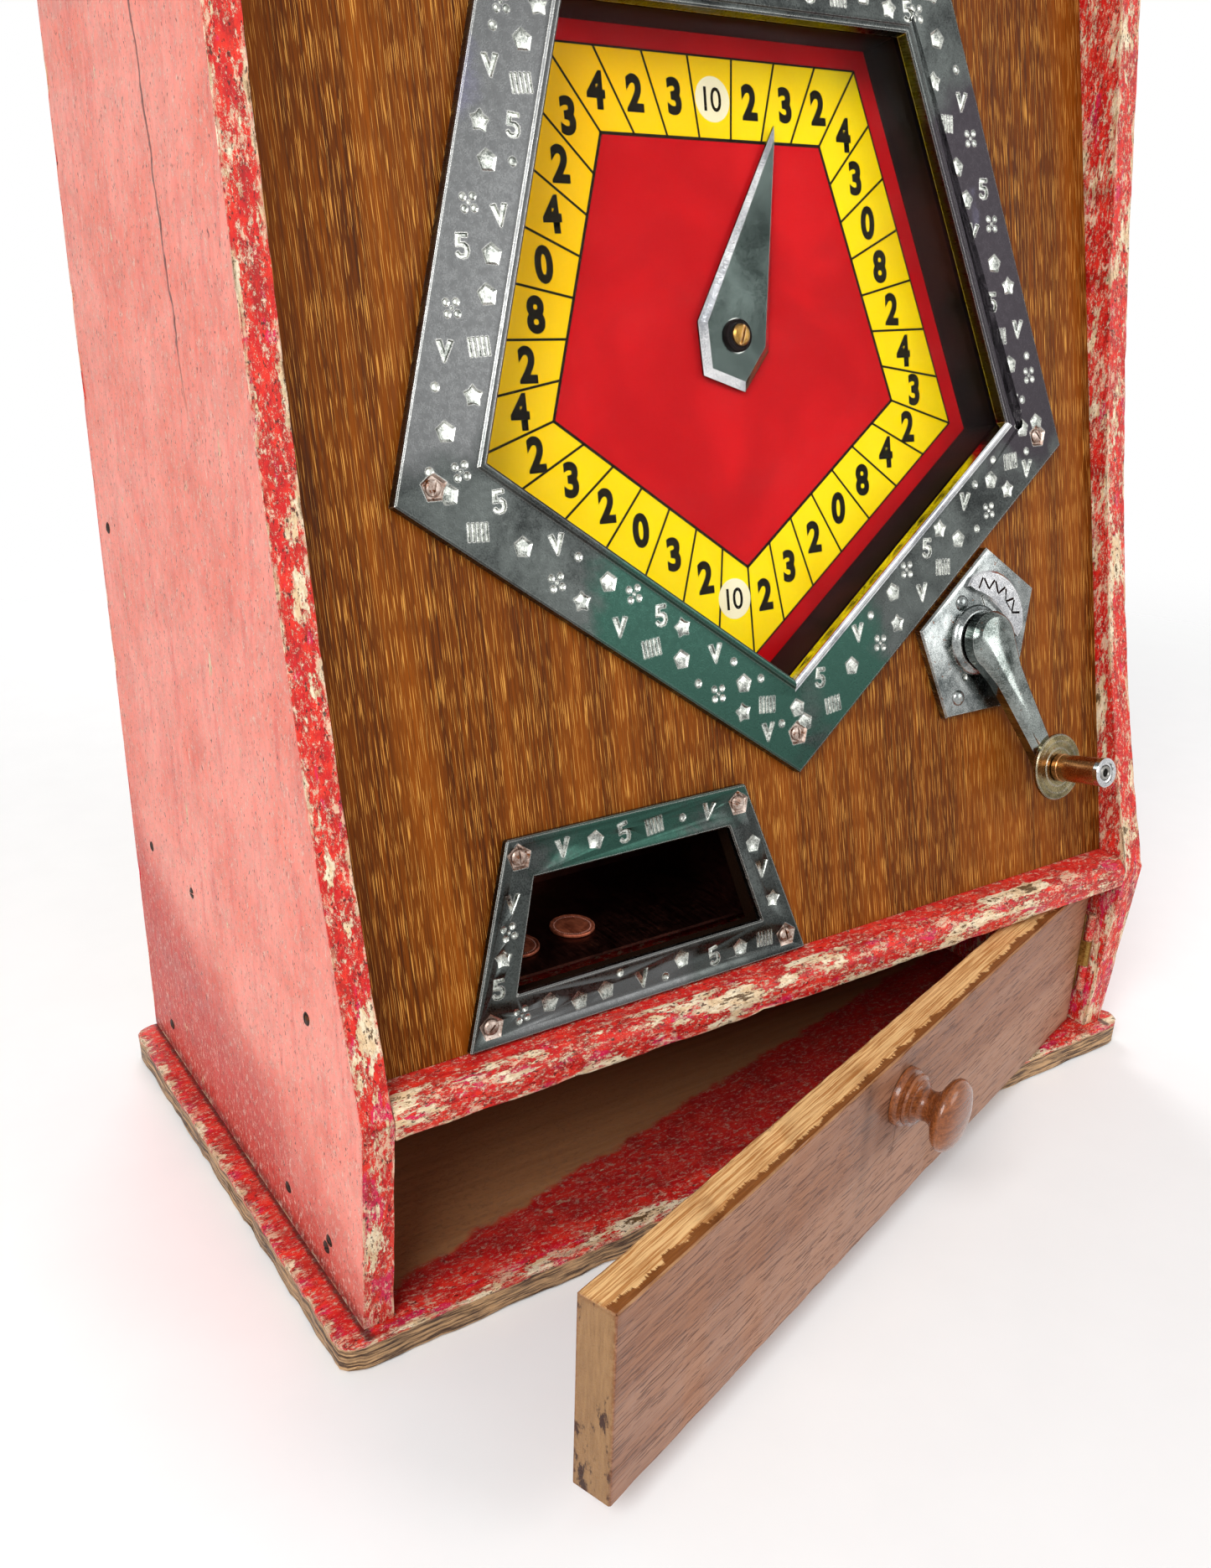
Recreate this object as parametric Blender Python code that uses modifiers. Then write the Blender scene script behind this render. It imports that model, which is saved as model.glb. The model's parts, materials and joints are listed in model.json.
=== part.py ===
"""Penny dial machine: a wooden case with a leaning front, a five-sided dial, a crank and a payout tray.

Metres, +Z up, front towards -Y. The origin is the centre of the base board's underside.
Blender 4.5: blender --background --python part.py
"""
import math

import bmesh
import bpy
from mathutils import Matrix

MM = 0.001
GAP = 0.3 * MM                      # between faces that touch
FIT = 0.3 * MM                      # radial clearance of pins, shafts and screws
THROUGH = 10 * MM                   # how far a cutter runs past the face it opens
OVERLAP = 1 * MM                    # how deep shapes that are joined run into each other

# ---------------------------------------------------------------- driving dimensions
FRAME_RADIUS = 245 * MM             # five-sided dial frame, centre to corner
FRAME_BAND = 54.2 * MM              # corner of the frame to corner of its opening
FRAME_THICKNESS = 6 * MM
FRAME_LIP = 1.5 * MM                # height and slope of the raised edge round the opening
FRAME_MARGIN = 42 * MM              # widest corner of the frame to the side board
FRAME_SCREW_OUT = 4 * MM            # screws outside the middle of the band's corners
DIAL_OFFSET = 5.5 * MM              # the dial sits right of the case's middle
DIAL_DEPTH = 28 * MM                # panel face to dial plate
DIAL_THICKNESS = 1.5 * MM
DIAL_BORDER = 12 * MM               # dial plate beyond the well, at a corner
DIAL_BORE = 6 * MM
GLASS_THICKNESS = 3 * MM
WELL_CLEARANCE = 1.2 * MM           # frame's opening to the well's inside, at a corner
WELL_WALL = 7.4 * MM                # at a corner, as are the next two
WELL_FLANGE_WIDTH = 22 * MM
WELL_TO_PANEL = 0.6 * MM
WELL_FLANGE_THICKNESS = 2 * MM

PANEL_LEAN = math.radians(12.9)
PANEL_THICKNESS = 14 * MM
PANEL_TO_REAR = 257 * MM            # panel face at the dial's height to the rear of the case
HEAD_HEIGHT = 146 * MM              # panel above the dial frame's flat top

BASE_THICKNESS = 18 * MM
BASE_OVERHANG = 16 * MM             # beyond each side board
BASE_CORNER = 12 * MM
COMPARTMENT_HEIGHT = 117.5 * MM
SHELF_THICKNESS = 19 * MM
SHELF_NOSE = 10 * MM
SIDE_THICKNESS = 17 * MM
SIDE_DEPTH_FOOT = 348 * MM
SIDE_DEPTH_KINK = 358.5 * MM
SIDE_DEPTH_TOP = 224.5 * MM
SIDE_SLOPE_KINK = 0.337             # set-back per height of the front edge, above the kink
SIDE_SLOPE_TOP = 0.15
BASE_FRONT_OVERHANG = 9 * MM        # base front beyond the foot of the side boards
KINK_BELOW_SHELF_TOP = 8 * MM
TOP_THICKNESS = 18 * MM
TOP_OVERHANG = 12 * MM
TOP_BEVEL = 4 * MM
BASE_BEVEL = 2 * MM
BACK_THICKNESS = 12 * MM
BACK_PIN_SETBACK = 3 * MM           # hinge pin inside the rear of the side boards
BACK_DOOR_GAP = 1 * MM              # above and below the back door

DOOR_THICKNESS = 22 * MM
DOOR_TOP_GAP = 4 * MM
DOOR_BOTTOM_GAP = 3 * MM
DOOR_FREE_GAP = 2.5 * MM
DOOR_PIN_SETBACK = 6.5 * MM         # hinge pin behind the foot of the side boards
DOOR_AJAR = math.radians(18.2)
DOOR_BEVEL = 1 * MM
KNOB_FROM_HINGE = 281 * MM
KNOB_BELOW_DOOR_TOP = 30 * MM
KNOB_RADIUS = 21.2 * MM
KNOB_LENGTH = 41 * MM
KNOB_FOOT_RADIUS = 17.4 * MM
KNOB_NECK_RADIUS = 10.6 * MM
KNOB_SCREW_RADIUS = 2 * MM
KNOB_SCREW_DEPTH = 15 * MM
KNOB_SCREW_HEAD_RADIUS = 4.5 * MM
KNOB_SCREW_HEAD_HEIGHT = 2.5 * MM

PIN_TO_SIDE = 3.2 * MM              # hinge pin axis to the side board
PIN_TO_FACE = 4 * MM                # hinge pin axis proud of its door's outer face
PIN_TO_DOOR_END = 3 * MM
PIN_RADIUS = 1.25 * MM
KNUCKLE_RADIUS = 2.7 * MM
LEAF_THICKNESS = 1.2 * MM
LEAF_WIDTH = 20 * MM
LEAF_TO_KNUCKLE = 0.5 * MM          # leaf's edge clear of the other leaf's knuckle
PIN_INSET = 0.5 * MM                # pin's ends inside the outer knuckles
DOOR_HINGE_HEIGHT = 60 * MM
BACK_HINGE_HEIGHT = 240 * MM

LOCK_RADIUS = 9.5 * MM
LOCK_RIM = 2.5 * MM
LOCK_RIM_HEIGHT = 2 * MM
LOCK_PLUG_RADIUS = 6 * MM
LOCK_PLUG_HEIGHT = 1.5 * MM
LOCK_FROM_END = 22 * MM             # lock's axis from the back door's free end
KEY_SLOT_LENGTH = 7 * MM
KEY_SLOT_WIDTH = 1.6 * MM
KEY_SLOT_DEPTH = 4.5 * MM
CAM_LENGTH = 29 * MM
CAM_HALF_WIDTH = 5 * MM
CAM_THICKNESS = 2 * MM
MORTISE_HALF_HEIGHT = 26 * MM
MORTISE_END_GAP = 1.5 * MM          # past the cam's end
MORTISE_SIDE_GAP = 2 * MM           # in front of and behind the cam

PAYOUT_CENTRE = -117 * MM           # from the dial's middle
PAYOUT_RISE = 1 * MM                # payout frame's top edge above the dial frame's lowest corner
PAYOUT_FOOT_GAP = 1 * MM            # payout frame's bottom edge to the shelf
PAYOUT_HEIGHT = 105 * MM
PAYOUT_TOP_WIDTH = 154 * MM
PAYOUT_BOTTOM_WIDTH = 224 * MM
PAYOUT_THICKNESS = 5 * MM
PAYOUT_OPEN_TOP = 22 * MM           # frame's top edge to its opening
PAYOUT_OPEN_HEIGHT = 59 * MM
PAYOUT_OPEN_TOP_WIDTH = 127 * MM
PAYOUT_OPEN_BOTTOM_WIDTH = 162 * MM
PAYOUT_BEVEL = 0.8 * MM
PAYOUT_HOLE_MARGIN = 3 * MM         # hole in the panel beyond the frame's opening
TOP_SCREW_INSET = (6 * MM, 10 * MM)         # payout screws from the frame's corner, across and down
BOTTOM_SCREW_INSET = (14 * MM, 11 * MM)     # and across and up
TRAY_DEPTH = 95 * MM
TRAY_WALL = 1.5 * MM
TRAY_FLOOR = 1.5 * MM               # floor below the opening's lower edge
TRAY_HEIGHT = 70 * MM
TRAY_SIDE = 4 * MM                  # beyond the frame's opening
COIN_WAY_HALF_WIDTH = 15 * MM       # mouth in the tray's rear wall
COIN_WAY_MARGIN = 2 * MM            # above and below the slide's channel

BLOCK_LENGTH = 90 * MM
BLOCK_HALF_WIDTH = 24 * MM
BLOCK_ROOF = 12 * MM                # wood above the slide's channel
CHANNEL_ABOVE_TRAY = 8 * MM
CHANNEL_HEIGHT = 4 * MM
BORE_CLEARANCE = 0.5 * MM           # round a coin
TUBE_FROM_TRAY = 14 * MM            # coin tube's bore behind the tray
COIN_TUBE_HEIGHT = 340 * MM
COIN_TUBE_WALL = 2 * MM
SLIDE_TRAVEL = 27 * MM
SLIDE_START = 0.5 * MM              # slide's front end behind the coin stack
SLIDE_TAIL = 12 * MM                # slide beyond the block, at the end of its travel
SLIDE_HOLE_RADIUS = 4 * MM

COIN_RADIUS = 12.95 * MM
COIN_THICKNESS = 1.9 * MM
COINS_IN_TRAY = (("coin_middle", -15 * MM, 33 * MM),        # right of the tray's middle, and behind the panel
                 ("coin_left", -54 * MM, 29 * MM))
SLOT_COUNT = 5
SLOT_SPACING = 52 * MM
SLOT_LENGTH = 29 * MM
SLOT_WIDTH = 3.2 * MM
SLOT_WAY_MARGIN = 0.6 * MM          # slots in the panel beyond those in the plate
SLOT_BELOW_TOP = 58.4 * MM          # slots' middle below the top of the panel
SLOT_PLATE_SIDE = 32 * MM           # plate beyond the last slot's middle
SLOT_PLATE_END = 14 * MM            # plate beyond the slots' ends
SLOT_PLATE_THICKNESS = 4 * MM
TROUGH_SLOPE = math.radians(5)
TROUGH_HEIGHT = 20 * MM
TROUGH_END = 20 * MM                # beyond the last slot's middle
TROUGH_BELOW_SLOTS = 4 * MM
TROUGH_TO_TUBE = 6 * MM             # trough's low end inside the drop tube's outer wall
CHUTE_WALL = 1.5 * MM
CHUTE_DEPTH = 30 * MM               # panel's rear face to the chutes' rear face
DROP_TUBE_WIDTH = 31 * MM
DROP_TUBE_BEHIND_PANEL = 16 * MM    # drop hole's middle behind the panel
DROP_HOLE_INSET = 4 * MM
DROP_HOLE_WIDTH = 26 * MM
DROP_HOLE_HALF_DEPTH = 12 * MM

ESCUTCHEON_SHORT_SIDE = 59.3 * MM
ESCUTCHEON_LONG_SIDE = 75 * MM
ESCUTCHEON_THICKNESS = 6 * MM
ESCUTCHEON_TO_FRAME = 5 * MM
ESCUTCHEON_ALONG = 122.5 * MM       # frame's bottom corner to the escutcheon's near corner, along its edge
ESCUTCHEON_SCREWS = ((36 * MM, 10.5 * MM), (-3.5 * MM, 53 * MM))    # along and out from that corner
CRANK_IN = 37 * MM                  # crank axis from the escutcheon's edge that faces the frame
CRANK_ALONG = 31.5 * MM             # and along that edge, from the near corner
CRESCENT_RADIUS = 35 * MM           # a raised crescent about the crank axis
CRESCENT_HALF_WIDTH = 9.5 * MM
CRESCENT_HEIGHT = 3 * MM
CRESCENT_START = math.radians(-4)
CRESCENT_END = math.radians(104)
BOSS_RADIUS = 19 * MM
BOSS_FOOT_RADIUS = 22 * MM
BOSS_TO_ARM = 1.5 * MM
CRANK_LENGTH = 100.6 * MM
CRANK_REST = math.radians(-60.9)    # arm's direction on the panel, from the right
ARM_BACK = 12 * MM
ARM_THICKNESS = 10 * MM
ARM_HUB_RADIUS = 18 * MM
ARM_END_RADIUS = 8.5 * MM
ARM_WAIST = 0.42                    # place of the widest point past the hub, as a share of the arm
ARM_WAIST_EXTRA = 2 * MM
ARM_BEVEL = 2.5 * MM
SOCKET_ROOF = 3 * MM                # metal over the shaft's end
DISC_RADIUS = 21.3 * MM
DISC_THICKNESS = 3.7 * MM
GRIP_RADIUS = 9.2 * MM
GRIP_LENGTH = 36 * MM
GRIP_PIN_RADIUS = 4.7 * MM
GRIP_EDGE = 1 * MM                  # bevel of the disc's and the sleeve's outer edges
PIN_END_INSET = 0.5 * MM
DIMPLE_RADIUS = 2.2 * MM
DIMPLE_DEPTH = 3.5 * MM
SHAFT_RADIUS = 6 * MM
BUSH_WALL = 4 * MM
BUSH_FLANGE = 5 * MM
BUSH_FLANGE_THICKNESS = 3 * MM

POINTER_TIP = 118 * MM
POINTER_HALF_WIDTH = 25.7 * MM
POINTER_TAIL = 26.6 * MM
POINTER_TAIL_HALF_WIDTH = 15 * MM
POINTER_THICKNESS = 4 * MM
POINTER_OVER_DIAL = 2 * MM
POINTER_REST = math.radians(-19.5)  # from straight up the panel
POINTER_HUB_RADIUS = 9 * MM
POINTER_HUB_HEIGHT = 3 * MM
SPINDLE_RADIUS = 4 * MM
SPINDLE_TAIL = 5 * MM               # behind the bridge
SPINDLE_BORE_DEPTH = 10 * MM
CAP_RADIUS = 6.5 * MM               # head of the screw that holds the pointer
CAP_HEIGHT = 2 * MM
CAP_EDGE = 1 * MM
CAP_SHANK_RADIUS = 1.6 * MM
CAP_SHANK_LENGTH = 8 * MM
CAP_SLOT_WIDTH = 1.4 * MM
CAP_SLOT_TURN = 0.5

CRANK_TEETH = 48
IDLER_TEETH = 36
POINTER_TEETH = 40
GEAR_THICKNESS = 6 * MM
GEAR_BEHIND_DIAL = 6 * MM
BRIDGE_WIDTH = 50 * MM
BRIDGE_THICKNESS = 3 * MM
BRIDGE_BEHIND_GEARS = 8 * MM
BRIDGE_CLEARANCE = 8 * MM           # bridge's legs beyond the well and the crank gear
BRIDGE_FOOT = 14 * MM
CRANK_HUB_RADIUS = 11 * MM
WHEEL_HUB_RADIUS = 9 * MM
TOOTH_HEIGHT = 0.75                 # above and below the pitch circle, in modules
TOOTH_DEPTH = 1.15
TOOTH_FLANKS = (0.12, 0.27)         # half widths at tip and root, in tooth steps
SPINDLE_BUSH_WALL = 3 * MM
SPINDLE_BUSH_FLANGE = 3 * MM
STUD_FRONT = 2 * MM                 # stud beyond the idler gear
STUD_HEAD_RADIUS = 8 * MM
STUD_HEAD_HEIGHT = 4 * MM

SCREW_HEAD_RADIUS = 4.2 * MM
SCREW_HEAD_HEIGHT = 2.2 * MM
SCREW_RADIUS = 1.9 * MM
SCREW_LENGTH = 13 * MM
SCREW_TIP = 0.2                     # share of the shank that tapers to its point
SCREW_SLOT_WIDTH = 1.2 * MM
SCREW_SLOT_DEPTH = 1.1 * MM

# ---------------------------------------------------------------- sizes that follow
FIFTH = math.radians(72)
OPENING_RADIUS = FRAME_RADIUS - FRAME_BAND
FLAT = math.cos(FIFTH / 2)          # distance to a flat, as a share of the corner radius
WELL_RADIUS = OPENING_RADIUS + WELL_CLEARANCE
WELL_OUTER = WELL_RADIUS + WELL_WALL
WELL_FLANGE = WELL_OUTER + WELL_FLANGE_WIDTH
PANEL_HOLE = WELL_OUTER + WELL_TO_PANEL
DIAL_RADIUS = WELL_OUTER + DIAL_BORDER

INNER_WIDTH = 2 * (FRAME_RADIUS * math.sin(FIFTH) + FRAME_MARGIN)
CASE_WIDTH = INNER_WIDTH + 2 * SIDE_THICKNESS
BASE_WIDTH = CASE_WIDTH + 2 * BASE_OVERHANG
BASE_DEPTH = SIDE_DEPTH_FOOT + BASE_FRONT_OVERHANG
REAR = BASE_DEPTH / 2

SHELF_BOTTOM = BASE_THICKNESS + COMPARTMENT_HEIGHT
SHELF_TOP = SHELF_BOTTOM + SHELF_THICKNESS
KINK_HEIGHT = SHELF_TOP - KINK_BELOW_SHELF_TOP
SIDE_FOOT_FRONT = REAR - SIDE_DEPTH_FOOT
KINK_FRONT = REAR - SIDE_DEPTH_KINK
SIDE_TOP_FRONT = REAR - SIDE_DEPTH_TOP

PAYOUT_TOP = -FRAME_RADIUS + PAYOUT_RISE
PAYOUT_BOTTOM = PAYOUT_TOP - PAYOUT_HEIGHT
PANEL_BELOW = -PAYOUT_BOTTOM + PAYOUT_FOOT_GAP
PANEL_ABOVE = FRAME_RADIUS * FLAT + HEAD_HEIGHT
DIAL_HEIGHT = SHELF_TOP + PANEL_BELOW * math.cos(PANEL_LEAN)
CASE_HEIGHT = DIAL_HEIGHT + PANEL_ABOVE * math.cos(PANEL_LEAN)
DIAL_Y = REAR - PANEL_TO_REAR
PANEL_BACK = -PANEL_THICKNESS - GAP

GEAR_FRONT = -DIAL_DEPTH - DIAL_THICKNESS - GEAR_BEHIND_DIAL
GEAR_BACK = GEAR_FRONT - GEAR_THICKNESS
BRIDGE_FRONT = GEAR_BACK - BRIDGE_BEHIND_GEARS
BRIDGE_BACK = BRIDGE_FRONT - BRIDGE_THICKNESS

EDGE_ANGLE = math.radians(36)       # slope of the frame's lower right edge
EDGE_ALONG = (math.cos(EDGE_ANGLE), math.sin(EDGE_ANGLE))
EDGE_OUT = (math.sin(EDGE_ANGLE), -math.cos(EDGE_ANGLE))


def on_edge(along, out):
    """Point on the panel: along the frame's lower right edge from its bottom corner, and out from it."""
    x = along * EDGE_ALONG[0] + out * EDGE_OUT[0]
    v = -FRAME_RADIUS + along * EDGE_ALONG[1] + out * EDGE_OUT[1]
    return (x, v)


ESCUTCHEON_CORNER = on_edge(ESCUTCHEON_ALONG, ESCUTCHEON_TO_FRAME)
CRANK_X, CRANK_V = on_edge(ESCUTCHEON_ALONG + CRANK_ALONG, ESCUTCHEON_TO_FRAME + CRANK_IN)
CRANK_DISTANCE = math.hypot(CRANK_X, CRANK_V)
CRANK_BEARING = math.atan2(CRANK_V, CRANK_X)
GEAR_MODULE = 2 * CRANK_DISTANCE / (CRANK_TEETH + 2 * IDLER_TEETH + POINTER_TEETH)
POINTER_TO_IDLER = GEAR_MODULE * (POINTER_TEETH + IDLER_TEETH) / 2

DOOR_LENGTH = INNER_WIDTH - PIN_TO_SIDE - PIN_TO_DOOR_END - DOOR_FREE_GAP
DOOR_BOTTOM = BASE_THICKNESS + DOOR_BOTTOM_GAP
DOOR_TOP = SHELF_BOTTOM - DOOR_TOP_GAP
DOOR_PIN = (INNER_WIDTH / 2 - PIN_TO_SIDE, SIDE_FOOT_FRONT + DOOR_PIN_SETBACK)
BACK_PIN = (-INNER_WIDTH / 2 + PIN_TO_SIDE, REAR - BACK_PIN_SETBACK)
BACK_BOTTOM = SHELF_TOP + BACK_DOOR_GAP
BACK_TOP = CASE_HEIGHT - BACK_DOOR_GAP
BACK_OUTER_FACE = BACK_PIN[1] - PIN_TO_FACE
BACK_INNER_FACE = BACK_OUTER_FACE - BACK_THICKNESS
LOCK_HEIGHT = (BACK_BOTTOM + BACK_TOP) / 2
LOCK_X = -PIN_TO_DOOR_END - DOOR_LENGTH + LOCK_FROM_END      # from the back door's pin

OPEN_TOP = PAYOUT_TOP - PAYOUT_OPEN_TOP
OPEN_BOTTOM = OPEN_TOP - PAYOUT_OPEN_HEIGHT
PAYOUT_X = DIAL_OFFSET + PAYOUT_CENTRE
TRAY_Z = DIAL_HEIGHT + OPEN_BOTTOM * math.cos(PANEL_LEAN) - TRAY_FLOOR
CHANNEL_Z = TRAY_Z + CHANNEL_ABOVE_TRAY
COIN_BORE = COIN_RADIUS + BORE_CLEARANCE
SLOT_HEIGHT = PANEL_ABOVE - SLOT_BELOW_TOP
CHUTE_BACK = PANEL_BACK - CHUTE_DEPTH


def panel_back_y(z):
    """Where the panel's rear face is, at a height."""
    return DIAL_Y + (z - DIAL_HEIGHT) * math.tan(PANEL_LEAN) + PANEL_THICKNESS / math.cos(PANEL_LEAN)


TRAY_REAR = panel_back_y(TRAY_Z) + TRAY_DEPTH
DROP_Y = panel_back_y(SHELF_TOP) + DROP_TUBE_BEHIND_PANEL


# ---------------------------------------------------------------- scene and helpers
for old in list(bpy.data.objects):
    bpy.data.objects.remove(old)

parts = bpy.data.collections.new("penny_dial_machine")
cutters = bpy.data.collections.new("cutters")
bpy.context.scene.collection.children.link(parts)
bpy.context.scene.collection.children.link(cutters)


def material(name, colour, roughness, metallic=0.0):
    mat = bpy.data.materials.new(name)
    mat.use_nodes = True
    shader = mat.node_tree.nodes["Principled BSDF"]
    shader.inputs["Base Color"].default_value = (*colour, 1.0)
    shader.inputs["Roughness"].default_value = roughness
    shader.inputs["Metallic"].default_value = metallic
    return mat


RED_PAINT = material("red_paint", (0.62, 0.07, 0.06), 0.6)
OAK = material("oak", (0.30, 0.12, 0.04), 0.45)
DOOR_OAK = material("door_oak", (0.36, 0.20, 0.10), 0.6)
KNOB_WOOD = material("knob_wood", (0.45, 0.22, 0.10), 0.4)
PLYWOOD = material("plywood", (0.42, 0.28, 0.15), 0.7)
CHROME = material("worn_chrome", (0.42, 0.44, 0.45), 0.3, 1.0)
STEEL = material("steel", (0.45, 0.44, 0.42), 0.4, 1.0)
BRASS = material("brass", (0.62, 0.42, 0.18), 0.35, 1.0)
BRONZE = material("bronze_coin", (0.45, 0.20, 0.10), 0.4, 1.0)
TRAY_STEEL = material("tray_steel", (0.10, 0.06, 0.05), 0.6, 0.6)
BLACK = material("black_paint", (0.01, 0.01, 0.01), 0.6)
DIAL_RED = material("dial_red", (0.55, 0.01, 0.02), 0.4)
GLASS = material("glass", (0.9, 0.95, 0.93), 0.05)


def empty(name, location, rotation=(0, 0, 0), parent=None):
    frame = bpy.data.objects.new(name, None)
    frame.location = location
    frame.rotation_euler = rotation
    frame.parent = parent
    parts.objects.link(frame)
    return frame


def add(name, mesh, mat, location=(0, 0, 0), rotation=(0, 0, 0), parent=None):
    """A sub-part, or a cutter when it has no material."""
    item = bpy.data.objects.new(name, mesh)
    item.location = location
    item.rotation_euler = rotation
    item.parent = parent
    if mat is None:
        cutters.objects.link(item)
        item.hide_render = True
        item.display_type = "WIRE"
    else:
        parts.objects.link(item)
        mesh.materials.clear()
        mesh.materials.append(mat)
    return item


def box(name, mat, low, high, parent=None, rotation=(0, 0, 0), location=(0, 0, 0), lean=0.0):
    """A box between two corners; lean shears it towards +Y as it rises."""
    mesh = bpy.data.meshes.new(name)
    bm = bmesh.new()
    bmesh.ops.create_cube(bm, size=1.0)
    for axis in range(3):
        for vert in bm.verts:
            vert.co[axis] = low[axis] if vert.co[axis] < 0 else high[axis]
    for vert in bm.verts:
        vert.co.y += vert.co.z * math.tan(lean)
    bm.to_mesh(mesh)
    bm.free()
    return add(name, mesh, mat, location, rotation, parent)


def rod(name, mat, radius, low, high, x=0.0, y=0.0, parent=None, rotation=(0, 0, 0),
        location=(0, 0, 0), sides=24):
    """A cylinder along local Z, from low to high."""
    mesh = bpy.data.meshes.new(name)
    bm = bmesh.new()
    middle = Matrix.Translation((x, y, (low + high) / 2))
    bmesh.ops.create_cone(bm, cap_ends=True, segments=sides, radius1=radius, radius2=radius,
                          depth=high - low, matrix=middle)
    bm.to_mesh(mesh)
    bm.free()
    item = add(name, mesh, mat, location, rotation, parent)
    mesh.shade_smooth()
    mesh.set_sharp_from_angle(angle=math.radians(35))
    return item


def turned(name, mat, profile, steps=24, closed=False, **place):
    """A profile of (radius, height) points turned about local Z; its outer side runs top to bottom."""
    mesh = bpy.data.meshes.new(name)
    bm = bmesh.new()
    verts = [bm.verts.new((radius, 0, height)) for radius, height in profile]
    for one, two in zip(verts, verts[1:]):
        bm.edges.new((one, two))
    if closed:
        bm.edges.new((verts[-1], verts[0]))
    bm.to_mesh(mesh)
    bm.free()
    item = add(name, mesh, mat, **place)
    screw = item.modifiers.new("turn", "SCREW")
    screw.steps = steps
    screw.render_steps = steps
    screw.use_smooth_shade = steps > 5
    screw.use_merge_vertices = True
    screw.merge_threshold = 0.00001
    return item


def plate(name, mat, loops, low, high, location=(0, 0, 0), **place):
    """A flat outline, with holes, extruded along local Z from low to high."""
    curve = bpy.data.curves.new(name, "CURVE")
    curve.dimensions = "2D"
    curve.fill_mode = "BOTH"
    curve.extrude = (high - low) / 2
    for loop in loops:
        spline = curve.splines.new("POLY")
        spline.points.add(len(loop) - 1)
        for point, (x, y) in zip(spline.points, loop):
            point.co = (x, y, 0, 1)
        spline.use_cyclic_u = True
    outline = bpy.data.objects.new(name + "_outline", curve)
    bpy.context.scene.collection.objects.link(outline)
    mesh = bpy.data.meshes.new_from_object(outline.evaluated_get(bpy.context.evaluated_depsgraph_get()))
    mesh.name = name
    bpy.data.objects.remove(outline)
    bpy.data.curves.remove(curve)
    bm = bmesh.new()
    bm.from_mesh(mesh)
    bmesh.ops.remove_doubles(bm, verts=bm.verts, dist=0.000001)
    bmesh.ops.translate(bm, verts=bm.verts, vec=(0, 0, (low + high) / 2))
    bm.to_mesh(mesh)
    bm.free()
    return add(name, mesh, mat, location, **place)


def circle(radius, x=0.0, y=0.0, sides=24):
    turns = [2 * math.pi * step / sides for step in range(sides)]
    return [(x + radius * math.cos(turn), y + radius * math.sin(turn)) for turn in turns]


def pentagon(radius):
    """Point down, as the dial is."""
    turns = [-math.pi / 2 + FIFTH * step for step in range(5)]
    return [(radius * math.cos(turn), radius * math.sin(turn)) for turn in turns]


def rectangle(left, bottom, right, top):
    return [(left, bottom), (right, bottom), (right, top), (left, top)]


def trapezoid(centre, top, bottom, top_width, bottom_width):
    return [(centre - bottom_width / 2, bottom), (centre + bottom_width / 2, bottom),
            (centre + top_width / 2, top), (centre - top_width / 2, top)]


def boolean(item, tool, operation, solver="EXACT"):
    change = item.modifiers.new(operation.lower(), "BOOLEAN")
    change.operation = operation
    change.solver = solver
    change.object = tool


def cut(item, *tools, solver="EXACT"):
    for tool in tools:
        boolean(item, tool, "DIFFERENCE", solver)


def join(item, *tools):
    for tool in tools:
        boolean(item, tool, "UNION")


def bevel(item, width, segments=2, angle=30):
    edge = item.modifiers.new("bevel", "BEVEL")
    edge.width = width
    edge.segments = segments
    edge.limit_method = "ANGLE"
    edge.angle_limit = math.radians(angle)
    edge.use_clamp_overlap = True


def slotted_screw(name, mat, x, v, seat, parent, head=SCREW_HEAD_RADIUS, length=SCREW_LENGTH, turn=0.0):
    """A raised-head wood screw along local Z, its head resting on the seat."""
    low = seat + GAP
    high = low + SCREW_HEAD_HEIGHT
    profile = [(0, high), (0.55 * head, high - 0.15 * SCREW_HEAD_HEIGHT),
               (head, low + 0.4 * SCREW_HEAD_HEIGHT), (head, low), (SCREW_RADIUS, low),
               (SCREW_RADIUS, low - (1 - SCREW_TIP) * length), (0, low - length)]
    place = {"location": (x, v, 0), "rotation": (0, 0, turn), "parent": parent}
    screw = turned(name, mat, profile, steps=12, **place)
    slot = SCREW_SLOT_WIDTH / 2
    cut(screw, box(name + "_slot", None, (-2 * head, -slot, high - SCREW_SLOT_DEPTH),
                   (2 * head, slot, high + THROUGH), **place))


# ---------------------------------------------------------------- frames that carry the parts
upright = empty("side_profile_frame", (0, 0, 0), (math.radians(90), 0, math.radians(90)))
panel_frame = empty("panel_frame", (DIAL_OFFSET, DIAL_Y, DIAL_HEIGHT), (math.radians(90) - PANEL_LEAN, 0, 0))
crank_axis = empty("crank_axis", (CRANK_X, CRANK_V, 0), (0, 0, CRANK_REST), panel_frame)
grip_axis = empty("grip_axis", (CRANK_LENGTH, 0, 0), parent=crank_axis)
idler_axis = empty("idler_axis", (POINTER_TO_IDLER * math.cos(CRANK_BEARING),
                                  POINTER_TO_IDLER * math.sin(CRANK_BEARING), 0), parent=panel_frame)
pointer_axis = empty("pointer_axis", (0, 0, 0), (0, 0, POINTER_REST), panel_frame)
door_hinge = empty("door_hinge", (*DOOR_PIN, 0))
door_axis = empty("door_axis", (*DOOR_PIN, 0), (0, 0, DOOR_AJAR))
back_hinge = empty("back_hinge", (*BACK_PIN, 0), (0, 0, math.pi))
back_axis = empty("back_axis", (*BACK_PIN, 0), (0, 0, math.pi))
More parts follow.
